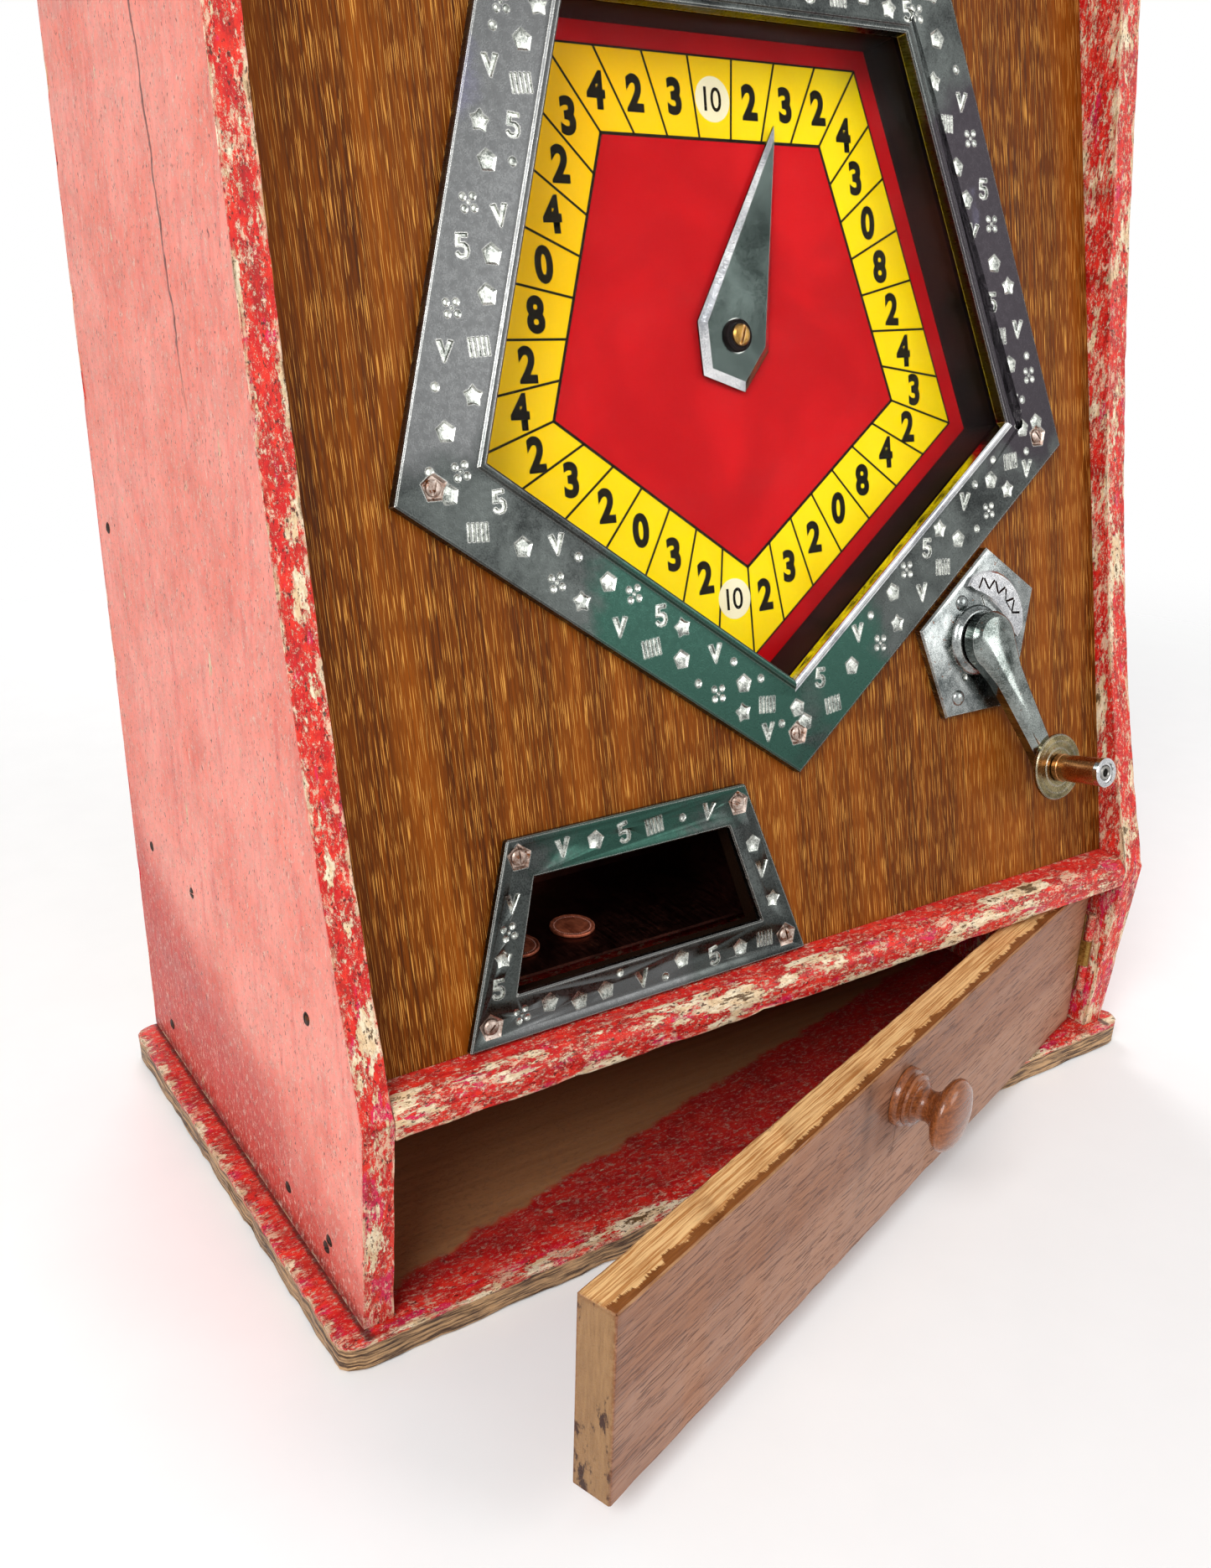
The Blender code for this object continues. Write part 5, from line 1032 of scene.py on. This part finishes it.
# %% Where the marks lie on the frame
# Each side has two loose rows. A mark is given by its share of the way along the side and by how
# far in it lies from the outer edge, in mm.
LOOSE_SIDE = (("pentagon", .075, 20), ("five", .16, 31), ("tally", .15, 12.5), ("pentagon", .237, 19),
              ("vee", .293, 30), ("dot", .341, 31), ("flower", .324, 13.5), ("star", .385, 12.5),
              ("pentagon", .417, 29), ("vee", .478, 12.5), ("flower", .475, 31.5), ("five", .546, 30),
              ("tally", .557, 12.5), ("star", .6, 31.5), ("pentagon", .628, 16.5), ("vee", .692, 30),
              ("dot", .684, 10.5), ("dot", .738, 32), ("flower", .736, 12), ("pentagon", .781, 25),
              ("dot", .813, 33), ("star", .808, 11), ("tally", .853, 22.5), ("vee", .883, 9.5),
              ("dot", .905, 18), ("pentagon", .925, 31))
PAIRED_SIDE = (("pentagon", .075, 17), ("five", .1, 32), ("dot", .135, 24), ("star", .15, 32),
               ("flower", .175, 13), ("dot", .215, 11), ("pentagon", .215, 27), ("vee", .275, 13),
               ("tally", .28, 30), ("star", .365, 12), ("five", .35, 29), ("pentagon", .42, 19),
               ("dot", .405, 32), ("flower", .495, 13), ("vee", .495, 30), ("five", .565, 13),
               ("pentagon", .56, 29), ("flower", .665, 13), ("pentagon", .625, 30), ("tally", .71, 30),
               ("vee", .735, 13), ("dot", .795, 11), ("star", .79, 31), ("pentagon", .86, 20),
               ("flower", .915, 31), ("dot", .93, 15))
frame_low, frame_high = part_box("dial_frame")
FRAME_RADIUS = (frame_high.x - frame_low.x) / 2 / math.sin(math.radians(72)) / MM
FRAME_TOP = 6.3
corners = [Vector(point) for point in polygon(FRAME_RADIUS)]
side_marks = []
for side in range(5):
    start, end = corners[side], corners[(side + 1) % 5]
    along = end - start
    inward = Vector((-along.y, along.x)).normalized()
    for kind, share, deep in (LOOSE_SIDE if side in (0, 4) else PAIRED_SIDE):
        side_marks.append(put(kind, (*(start + along * share + inward * deep), FRAME_TOP)))
print("marks on the frame:", len(side_marks), "radius", round(FRAME_RADIUS, 1))


def carve(name, blank, *cutters):
    """Cuts each cutter mesh out of the blank, and gives one plain mesh."""
    item = link_object(name + "_blank", blank)
    tools = [link_object(f"{name}_cutter_{place}", mesh) for place, mesh in enumerate(cutters)]
    for tool in tools:
        cut = item.modifiers.new(tool.name, "BOOLEAN")
        cut.operation = "DIFFERENCE"
        cut.solver = "MANIFOLD"
        cut.material_mode = "TRANSFER"
        cut.object = tool
    made = evaluated(name, item)
    for tool in tools:
        bpy.data.objects.remove(tool)
    made.shade_smooth()
    made.set_sharp_from_angle(angle=math.radians(24))
    return made


# %% [markdown]
# ## The five-sided frame
# The frame is a casting with a rounded lip round its opening. Its cross-section is turned in only
# five steps, which gives a five-sided ring with mitred corners, and then the marks are cut. The
# screws sit in larger five-sided recesses at the corners. They are one set-out of a turned head
# with a slot, and the recess floors are rusty.

# %% Frame, its marks and screws
OPENING = FRAME_RADIUS - 54.2
frame_profile = [(OPENING, 0.3), (FRAME_RADIUS, 0.3), (FRAME_RADIUS, 4.9), (FRAME_RADIUS - 0.5, 5.8),
                 (FRAME_RADIUS - 1.6, FRAME_TOP), (OPENING + 7.2, FRAME_TOP), (OPENING + 6.0, 6.5),
                 (OPENING + 4.6, 7.5), (OPENING + 3.2, 7.8), (OPENING + 1.6, 7.6), (OPENING + 0.4, 6.9),
                 (OPENING, 5.8)]
ring = bmesh.new()
lathe(ring, frame_profile, steps=5, turn=-math.pi / 2, closed=True)
outward(ring)
# Only the lip on the lower right gets the bright plate: a painted highlight on that part of it.
for face in ring.faces:
    middle = face.calc_center_median()
    lower_right = middle.x > 40 and middle.y < -60
    on_lip = middle.z > FRAME_TOP + 0.05 or (middle.xy.length < OPENING * 0.83 and middle.z > 1)
    face.material_index = 1 if on_lip and lower_right else 0
ring_mesh = to_mesh("frame_blank", ring, plate_grey, bright, smooth=30)
frame_cutter = set_out("frame_marks", mark_shapes, side_marks, silver, size=0.95, loose=0.16, seed=4)
SCREW_RING = (FRAME_RADIUS + OPENING) / 2 + 4
recess = {"recess": cutter("recess", (polygon(7.4, 5, 90), 1.5, 1.2))}
screw_spots = polygon(SCREW_RING)
recess_spots = [put("recess", (*spot, FRAME_TOP)) for spot in screw_spots]
recess_cutter = set_out("frame_recesses", recess, recess_spots, rusty_steel)
frame_mesh = carve("dial_frame_stamped", ring_mesh, frame_cutter, recess_cutter)
piece("dial_frame_stamped", frame_mesh, PANEL_MM, "case", "chrome", "dial_frame")


def slotted_head(radius, height, slot, deep):
    """A domed screw head in mm, with its slot cut by a blade."""
    profile = [(0, height), (0.5 * radius, 0.93 * height), (0.8 * radius, 0.7 * height),
               (0.97 * radius, 0.35 * height), (radius, 0.0), (0.9 * radius, -0.3), (0, -0.3)]
    head_mesh = turned("screw_head", profile, 20, rusty_steel, smooth=40)
    levels = ((height - deep, 0), (height + 1, 0))
    blade = stacked("slot", bar(0, 0, slot, 3 * radius), levels, rusty_steel)
    return carve("slotted_head", head_mesh, blade)


screw_shape = {"head": slotted_head(radius=4.2, height=2.0, slot=1.1, deep=1.0)}
HEAD_SUNK = 1.2


def screws(name, spots, place, body, slot, material, *stands_for, turn_step=0.7, size=1.0):
    """Sets screw heads out, each turned a step further than the last."""
    points = [put("head", spot, number * turn_step) for number, spot in enumerate(spots)]
    piece(name, set_out(name, screw_shape, points, material, size=size), place, body, slot, *stands_for)


screws("frame_screws", [(x, y, FRAME_TOP - HEAD_SUNK) for x, y in screw_spots], PANEL_MM, "case", "steel",
       rusty_steel, *[f"dial_frame_screw_{number}" for number in range(1, 6)])

# %% Bare plaque on the frame's top side
PLAQUE_HALF = 46.0
PLAQUE_V = 177.0
CORNER = 9
plaque_outline = []
for quarter, (x, y) in enumerate(((1, 1), (-1, 1), (-1, -1), (1, -1))):
    for step in range(7):
        angle = math.pi / 2 * (quarter + step / 6)
        plaque_outline.append(on_circle(CORNER, angle, x * (PLAQUE_HALF - CORNER), PLAQUE_V + y * 3))
plaque = stacked("frame_plaque", plaque_outline,
                 ((FRAME_TOP - 0.4, 0), (7.1, 0), (7.5, 0.5), (7.5, 2.0), (7.2, 2.4)), plaque_gold)
piece("frame_plaque", plaque, PANEL_MM, "case", "brass")

# %% [markdown]
# ## The payout plate
# The plate round the tray's mouth keeps its CAD outline. A copy is brought into the panel's own
# millimetres, where the marks are easy to place along its four rails, and it is carved like the
# frame. Its screws are rusty and sit in five-sided recesses too.

# %% Payout plate
plate_low, plate_high = [corner / MM for corner in extent("payout_frame", PANEL.inverted())]
MIDDLE = (plate_low.x + plate_high.x) / 2
TOP_V, BOTTOM_V, PLATE_TOP = plate_high.y, plate_low.y, plate_high.z
rail_marks = [("vee", -45, 10.5), ("pentagon", -25, 10.5), ("five", -7, 10.5), ("tally", 13, 10.5),
              ("dot", 32, 10), ("vee", 50, 10.5),
              ("vee", -78, 33), ("flower", -82, 47), ("star", -87, 60), ("five", -92, 75),
              ("pentagon", 79, 35), ("vee", 84, 51), ("star", 90, 70),
              ("flower", -80, 92), ("pentagon", -63, 90), ("pentagon", -45, 94), ("pentagon", -28, 93),
              ("dot", -18, 86), ("vee", -4, 93), ("dot", 11, 96), ("pentagon", 23, 89), ("five", 45, 93),
              ("pentagon", 64, 93), ("tally", 82, 92)]
plate_marks = [put(kind, (MIDDLE + x, TOP_V - down, PLATE_TOP)) for kind, x, down in rail_marks]
plate_screws = [(MIDDLE + x, v, PLATE_TOP) for v, x in ((TOP_V - 10, -71), (TOP_V - 10, 71),
                                                        (BOTTOM_V + 11, -98), (BOTTOM_V + 11, 98))]
blank_mesh = to_mesh("payout_blank", merged("payout_frame"), plate_grey)
blank_mesh.transform(PANEL_MM.inverted())
marks = set_out("payout_marks", mark_shapes, plate_marks, silver, size=0.92, loose=0.2, seed=9)
recesses = set_out("payout_recesses", recess, [put("recess", spot) for spot in plate_screws], rusty_steel)
payout_mesh = carve("payout_plate_stamped", blank_mesh, marks, recesses)
piece("payout_plate_stamped", payout_mesh, PANEL_MM, "case", "chrome", "payout_frame")
screws("payout_screws", [(x, y, z - HEAD_SUNK) for x, y, z in plate_screws], PANEL_MM, "case", "steel",
       rusty_steel, *[f"payout_screw_{number}" for number in range(1, 5)], turn_step=1.1)

# %% [markdown]
# ## The printed dial
# The dial is a card: a red five-sided middle, a yellow border cut into thirty-five cells by black
# lines that all point at the middle, and a number in each. The two tens are on round stickers.
# Each colour is a thin sheet laid just over the one below. The lines are one bar set out many
# times, and so are the numbers, which start as text turned into mesh.

# %% Yellow border, lines, numbers and stickers
DIAL_FACE = -28.0
RED_RADIUS = 127.0
YELLOW_RADIUS = 178.4
CELLS = 7
BORDER_TOP = DIAL_FACE + 0.12
SHEET = 0.06
border = bmesh.new()
rings = [[border.verts.new((x, y, z)) for x, y in polygon(radius)]
         for z in (BORDER_TOP - SHEET, BORDER_TOP) for radius in (YELLOW_RADIUS, RED_RADIUS)]
for first, second in ((0, 1), (1, 3), (3, 2), (2, 0)):
    for step in range(5):
        after = (step + 1) % 5
        corners = (rings[first][step], rings[first][after], rings[second][after], rings[second][step])
        border.faces.new(corners)
outward(border)
border_mesh = to_mesh("dial_yellow_border", border, dial_yellow)
piece("dial_yellow_border", border_mesh, PANEL_MM, "case", "dial_print")
line_shape = {"line": stacked("line", bar(0, 0, 1, 1), ((0, 0), (0.05, 0)), dial_black)}


def line(start, end, width=1.3):
    """One black line: the bar of one millimetre turned and stretched from start to end."""
    along = end - start
    turn = math.atan2(along.y, along.x) - math.pi / 2
    size = (width, along.length + width * 0.7, 1)
    return put("line", (*((start + end) / 2), DIAL_FACE + 0.14), turn, size)


inner = [Vector(point) for point in polygon(RED_RADIUS)]
outer = [Vector(point) for point in polygon(YELLOW_RADIUS)]
lines = []
cell_middles = {}
END_NUDGE = 0.05
ACROSS_BORDER = 0.49
for side in range(5):
    after = (side + 1) % 5
    lines.append(line(inner[side], inner[after], 1.7))
    lines.append(line(outer[side], outer[after], 1.1))
    for cell in range(CELLS):
        share = cell / CELLS
        lines.append(line(inner[side].lerp(inner[after], share), outer[side].lerp(outer[after], share)))
        share = (cell + 0.5 + END_NUDGE * ((cell == 0) - (cell == CELLS - 1))) / CELLS
        red_edge = inner[side].lerp(inner[after], share)
        cell_middles[side, cell] = red_edge.lerp(outer[side].lerp(outer[after], share), ACROSS_BORDER)
piece("dial_lines", set_out("dial_lines", line_shape, lines, dial_black), PANEL_MM, "case", "dial_print")

CLOCKWISE = {2: (4, 2, 3, 10, 2, 3, 2), 1: (4, 3, 0, 8, 2, 4, 3), 0: (2, 4, 8, 0, 2, 3, 2),
             4: (10, 2, 3, 0, 2, 3, 2), 3: (4, 2, 8, 0, 4, 2, 3)}


def number_mesh(value):
    """A bold upright number in mm, centred on its own middle. The tens are smaller and thinner."""
    size, thicken, narrow = (17.5, 0.1, 0.92) if value == 10 else (24.0, 1.1, 0.86)
    curve = bpy.data.curves.new(f"number_{value}", "FONT")
    curve.body = str(value)
    curve.size = size
    curve.offset = thicken
    curve.extrude = 0.04
    curve.resolution_u = 4
    curve.space_character = 0.9
    shape = bmesh.new()
    shape.from_mesh(evaluated(curve.name, link_object(curve.name, curve)))
    bmesh.ops.remove_doubles(shape, verts=shape.verts, dist=1e-4)
    xs = [vertex.co.x for vertex in shape.verts]
    ys = [vertex.co.y for vertex in shape.verts]
    middle = Vector(((min(xs) + max(xs)) / 2, (min(ys) + max(ys)) / 2, -curve.extrude))
    bmesh.ops.translate(shape, verts=shape.verts, vec=-middle)
    bmesh.ops.scale(shape, verts=shape.verts, vec=(narrow, 1.0, 1.0))
    return to_mesh(f"number_{value}", shape, dial_black)


number_shapes = {f"n{value:02d}": number_mesh(value) for value in (0, 2, 3, 4, 8, 10)}
numbers = []
sticker_points = []
for side, values in CLOCKWISE.items():
    for place, value in enumerate(values):
        spot = cell_middles[side, CELLS - 1 - place]
        height = DIAL_FACE + (0.28 if value == 10 else 0.16)
        numbers.append(put(f"n{value:02d}", (*spot, height)))
        if value == 10:
            sticker_points.append(put("sticker", (*spot, DIAL_FACE + 0.2)))
number_print = set_out("dial_numbers", number_shapes, numbers, dial_black, loose=0.03, seed=2)
piece("dial_numbers", number_print, PANEL_MM, "case", "dial_print")
sticker_shape = {"sticker": stacked("sticker", polygon(11.6, 36, 0), ((-0.05, 0), (0.05, 0)), sticker)}
sticker_mesh = set_out("dial_stickers", sticker_shape, sticker_points, sticker)
piece("dial_stickers", sticker_mesh, PANEL_MM, "case", "dial_print")

# %% [markdown]
# ## The pointer
# The pointer is a long plated kite with a flat face and broad sloping edges. Its face has a dark
# finish, a painted dark reflection, and its sloping edges a bright one, a painted highlight. It is
# one outline stacked at four heights, the upper two drawn in. A dark turned hub and a slotted
# brass screw hold it to its spindle.

# %% Pointer, hub and screw
pointer_plate = metal("pointer_plate", srgb(12, 18, 16), srgb(58, 66, 63), patch=0.05,
                      rough=(0.1, 0.26), edge_light=0.5)
kite = [(0, 118), (-25.7, 0), (-15, -26.6), (15, -26.6), (25.7, 0)]
blade = bmesh.new()
stack(blade, kite, ((-26, 0), (-24.6, 0), (-22.2, 4.2), (-22, 4.6)))
hub_profile = [(4.3, -19), (7.6, -19), (8.8, -19.7), (9, -20.6), (9, -22.6), (4.3, -22.6)]
lathe(blade, hub_profile, 32, closed=True, index=1)
outward(blade)
# The sloping faces take the bright plate: a painted highlight.
for face in blade.faces:
    if face.material_index == 0 and 0.2 < face.normal.z < 0.95:
        face.material_index = 2
blade_mesh = to_mesh("pointer_kite", blade, pointer_plate, black_paint, bright, smooth=20)
piece("pointer_kite", blade_mesh, POINTER @ IN_MM, "pointer", "chrome", "pointer")
screws("pointer_cap", [(0, 0, -18.6)], POINTER @ IN_MM, "pointer", "brass", brass, "pointer_screw",
       size=1.45)

# %% [markdown]
# ## The crank
# The crank turns in a plated shield: a long five-sided plate with a bright sloping edge, a struck
# tally mark, two domed rivets, a round boss and a raised crescent with a row of small cuts. The
# arm is one long outline with round ends, drawn in towards its face so that its sides slope. A
# disc and a copper sleeve sit on its end, and the sleeve spins on a hollow pin.

# %% Shield, boss, crescent and rivets
EDGE = math.radians(36)
SHIELD_ALONG = 122.5
SHIELD_OUT = 5
SHIELD_TOP = 6.3
CRESCENT_RADIUS = 35
CRESCENT_HALF_WIDTH = 9.5
CRESCENT_TOP = 9.3
CRESCENT_START, CRESCENT_SWEEP = -4, 108
CRESCENT_STEPS = 14


def on_shield(along, out):
    """From the shield's first corner: along the frame's lower right side, and out from it, in mm."""
    along += SHIELD_ALONG
    out += SHIELD_OUT
    return Vector((along * math.cos(EDGE) + out * math.sin(EDGE),
                   -FRAME_RADIUS + along * math.sin(EDGE) - out * math.cos(EDGE)))


shield_outline = [on_shield(0, 0)]
for turn, length in ((36, 75), (-36, 49.59), (-108, 75), (180, 59.3)):
    step = Vector(on_circle(1, math.radians(turn))) * length
    shield_outline.append(shield_outline[-1] + step)
shield_outline = [tuple(point) for point in reversed(shield_outline)]
crank_middle = (crank_place.x / MM, crank_place.y / MM)
AT_CRANK = Matrix.Translation((*crank_middle, 0))
shield_finish = metal("shield_plate", srgb(74, 80, 80), srgb(166, 170, 168), patch=0.02, rough=(0.1, 0.3),
                      rust=0.25, edge_light=0.8)
shield_levels = ((0.3, 0), (4.6, 0), (5.9, 0.9), (SHIELD_TOP, 2.2))
shield_mesh = stacked("shield_blank", shield_outline, shield_levels, shield_finish)
boss_profile = [(22, 5.9), (21.6, 7.2), (20.4, 8.4), (19.2, 9.2), (18.6, 10.1), (17.6, 10.5),
                (10.7, 10.5), (10.7, 5.9)]
boss_mesh = turned("shield_boss", boss_profile, 48, shield_finish, place=AT_CRANK, closed=True)
piece("shield_boss", boss_mesh, PANEL_MM, "case", "chrome")
crescent = []
for step in range(2 * CRESCENT_STEPS):
    outer_side = step < CRESCENT_STEPS
    share = step / CRESCENT_STEPS if outer_side else 2 - step / CRESCENT_STEPS
    half_width = CRESCENT_HALF_WIDTH * math.sqrt(math.sin(math.pi * share))
    radius = CRESCENT_RADIUS + (half_width if outer_side else -half_width)
    angle = math.radians(CRESCENT_START + CRESCENT_SWEEP * share)
    crescent.append(on_circle(radius, angle, *crank_middle))
moon_mesh = stacked("crescent_blank", crescent, ((5.9, 0), (8.2, 0), (CRESCENT_TOP, 1.3)), bright)
notch = {"notch": cutter("notch", (bar(0, 0, 1.5, 7.5), 0.9, 0.45)),
         "score": cutter("score", (bar(0, 0, 0.8, 1), 0.7, 0.2))}
notches = []
for step in range(9):
    angle = math.radians(22 + 8 * step)
    turn = angle - math.pi / 2 + (0.7 if step % 2 else -0.5)
    notches.append(put("notch", (*on_circle(CRESCENT_RADIUS, angle, *crank_middle), CRESCENT_TOP), turn))
moon_mesh = carve("shield_crescent", moon_mesh, set_out("crescent_cuts", notch, notches, black_paint))
piece("shield_crescent", moon_mesh, PANEL_MM, "case", "chrome")
tally_spot = on_shield(14, 30)
dot_spot = tally_spot + Vector((6, -17))
shield_cuts = set_out("shield_marks", {**mark_shapes, **notch},
                      [put("tally", (*tally_spot, SHIELD_TOP), 2.2),
                       put("score", (*on_shield(52, 18), SHIELD_TOP), 0.35, (1, 30, 1)),
                       put("dot", (*dot_spot, SHIELD_TOP))], silver)
way_profile = [(0, -5), (10.6, -5), (10.6, 20), (0, 20)]
shaft_way = turned("shaft_way", way_profile, 32, shield_finish, place=AT_CRANK)
shield_mesh = carve("crank_shield", shield_mesh, shaft_way, shield_cuts)
piece("crank_shield", shield_mesh, PANEL_MM, "case", "chrome", "escutcheon")
rivet_profile = [(0, 2.6), (1.8, 2.45), (3.4, 1.9), (4.6, 0.9), (5.0, 0.0), (5.0, -0.2), (0, -0.2)]
rivet_shape = {"rivet": turned("rivet", rivet_profile, 20, shield_finish, smooth=60)}
rivet_spots = [put("rivet", (*spot, SHIELD_TOP)) for spot in (on_shield(36, 10.5), on_shield(-3.5, 53))]
rivets = set_out("shield_rivets", rivet_shape, rivet_spots, shield_finish)
piece("shield_rivets", rivets, PANEL_MM, "case", "steel", "escutcheon_screw_1", "escutcheon_screw_2")

# %% Arm, disc, sleeve and pin
GRIP_MM = GRIP @ IN_MM
REACH = grip_place.x / MM


def arc(radius, middle, start, end, steps):
    """Points on part of a circle whose middle lies on the arm's own line."""
    angles = [math.radians(start + (end - start) * step / steps) for step in range(steps + 1)]
    return [on_circle(radius, angle, middle) for angle in angles]


ARM_SIDE = ((26, 11.6), (38, 10.6), (0.72 * REACH, 8.6), (0.84 * REACH, 8.2))
arm_outline = [*arc(18, 0, 62, 298, 22), *[(x, -y) for x, y in ARM_SIDE],
               *arc(8.5, REACH, -80, 80, 12), *reversed(ARM_SIDE)]
arm_finish = metal("arm_plate", srgb(46, 54, 50), srgb(156, 162, 158), patch=0.03, rough=(0.06, 0.2),
                   rust=0.2, scratches=0.1, edge_light=0.5)
arm_levels = ((12, 0.8), (12.8, 0), (19.4, 0), (22.4, 2.2), (23.2, 3.7))
arm_mesh = stacked("crank_arm_plated", arm_outline, arm_levels, arm_finish, smooth=35)
piece("crank_arm_plated", arm_mesh, ARM @ IN_MM, "crank", "chrome", "crank_arm")
disc_profile = [(5.0, 22.3), (20.4, 22.3), (21.3, 23.0), (21.3, 25.0), (20.6, 25.7), (17, 25.9),
                (16.4, 25.5), (12.5, 25.5), (12, 26), (5.0, 26)]
disc_finish = metal("crank_disc_metal", srgb(76, 68, 46), srgb(150, 136, 100), patch=0.015,
                    rough=(0.16, 0.34), rust=0.35, edge_light=0.7)
disc_mesh = turned("crank_disc_turned", disc_profile, 64, disc_finish, closed=True)
piece("crank_disc_turned", disc_mesh, GRIP_MM, "crank", "brass", "crank_disc")
sleeve = bmesh.new()
barrel = [(5.0, 26.3), (8.4, 26.3), (8.9, 26.8), (8.9, 30), (8.6, 30.4), (8.7, 57.6), (8.6, 58.0)]
lathe(sleeve, barrel, 40)
collar = [(8.6, 58.0), (9.2, 58.4), (9.2, 61.6), (8.7, 62.3), (6.6, 62.3), (6.2, 61.2), (5.0, 61.0)]
lathe(sleeve, collar, 40, index=1)
lathe(sleeve, [(5.0, 61.0), (5.0, 26.3)], 40)
outward(sleeve)
sleeve_mesh = to_mesh("grip_sleeve_turned", sleeve, sleeve_copper, bright)
piece("grip_sleeve_turned", sleeve_mesh, GRIP_MM, "grip", "brass", "grip_sleeve")
pin_profile = [(0, 12.4), (4.6, 12.4), (4.6, 61.0), (4.0, 61.6), (2.9, 61.6), (2.5, 61.0), (2.4, 56),
               (0, 55)]
pin_mesh = turned("grip_pin_hollow", pin_profile, 28, steel)
piece("grip_pin_hollow", pin_mesh, GRIP_MM, "crank", "steel", "grip_pin")

# %% [markdown]
# ## The turned knob
# The knob is turned beech, polished by hands: a foot disc, a groove, a ring, a hollow neck and a
# broad domed head. Its section is given as radius and height in mm, and turned on the lathe.

# %% Knob
knob_low, knob_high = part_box("door_knob")
FROM_HINGE, BEHIND_PIN = -0.281, 0.004
knob_foot = (FROM_HINGE, BEHIND_PIN, (knob_low.z + knob_high.z) / 2 - door_pin[2])
KNOB = DOOR @ Matrix.Translation(knob_foot) @ Matrix.Rotation(math.pi / 2, 4, "X")
knob_profile = [(0, 0.3), (17.4, 0.3), (17.4, 3.4), (16.6, 4.5), (15.0, 4.8), (14.4, 5.4), (15.0, 6.0),
                (15.8, 7.2), (15.2, 8.6), (13.4, 9.0), (12.8, 9.6), (13.2, 10.4), (12.4, 11.6),
                (10.4, 12.6), (9.2, 14.5), (9.0, 17), (9.8, 19.5), (12.2, 22), (16.2, 24), (19.6, 25.8),
                (21.0, 27.8), (21.2, 29.6), (20.4, 31.6), (18.4, 33.4), (14.8, 34.9), (10.2, 35.8),
                (5, 36.2), (0, 36.3)]
knob_mesh = turned("knob_turned", knob_profile, 64, knob_wood, smooth=40)
piece("knob_turned", knob_mesh, KNOB @ IN_MM, "door", "knob_wood", "door_knob")

# %% [markdown]
# ## Coins in the tray
# Two old copper pennies lie in the tray. Each is a turned disc with a raised rim, and a ring of
# beads just inside it. The faces are left bare and worn smooth, as a much-used coin's are.

# %% Coins
bead_profile = [(0, 0.32), (0.3, 0.26), (0.5, 0.08), (0.5, -0.05), (0, -0.05)]
bead_shape = {"bead": turned("bead", bead_profile, 7, copper, smooth=70)}
BEADS = 54
FIELD_HEIGHT = 1.5
for name in ("coin_left", "coin_middle"):
    low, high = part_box(name)
    middle = (low + high) / 2
    radius = (high.x - low.x) / 2 / MM
    coin = bmesh.new()
    coin_profile = [(0, 1.45), (radius - 3.4, FIELD_HEIGHT), (radius - 1.5, FIELD_HEIGHT),
                    (radius - 1.2, 1.85), (radius - 0.3, 1.9), (radius, 1.6), (radius, 0.3),
                    (radius - 0.3, 0.0), (0, 0)]
    lathe(coin, coin_profile, 56)
    outward(coin)
    ring_points = [put("bead", (*on_circle(radius - 2.4, 2 * math.pi * step / BEADS), FIELD_HEIGHT))
                   for step in range(BEADS)]
    coin.from_mesh(set_out(name + "_beads", bead_shape, ring_points, copper))
    coin_mesh = to_mesh(name + "_struck", coin, copper, smooth=50)
    flat = Matrix.Translation((middle.x, middle.y, low.z)) @ IN_MM
    piece(name + "_struck", coin_mesh, flat, "case", "bronze_coin", name)

# %% [markdown]
# ## Screws in the wood
# Dark countersunk screws hold the side boards to the base and the shelf. They are the same slotted
# head, set out on each outer face.

# %% Screws through the side boards
black_iron = metal("dark_iron", srgb(38, 30, 28), srgb(78, 62, 56), patch=0.004, rough=(0.4, 0.65),
                   rust=0.8)
SIDE_SPOTS = ((-116, 176), (137, 39), (-128, 46), (-123, 38), (157, 372), (138, 171), (-70, 42),
              (60, 171))
outer_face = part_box("left_side")[0].x
for name, x, sign in (("left_side_screws", outer_face, -1), ("right_side_screws", -outer_face, 1)):
    face = Matrix(((0, 0, sign, x), (sign, 0, 0, 0), (0, 1, 0, 0), (0, 0, 0, 1)))
    spots = [(y * sign, z, -HEAD_SUNK) for y, z in SIDE_SPOTS]
    screws(name, spots, face @ IN_MM, "case", "steel", black_iron, size=0.95)
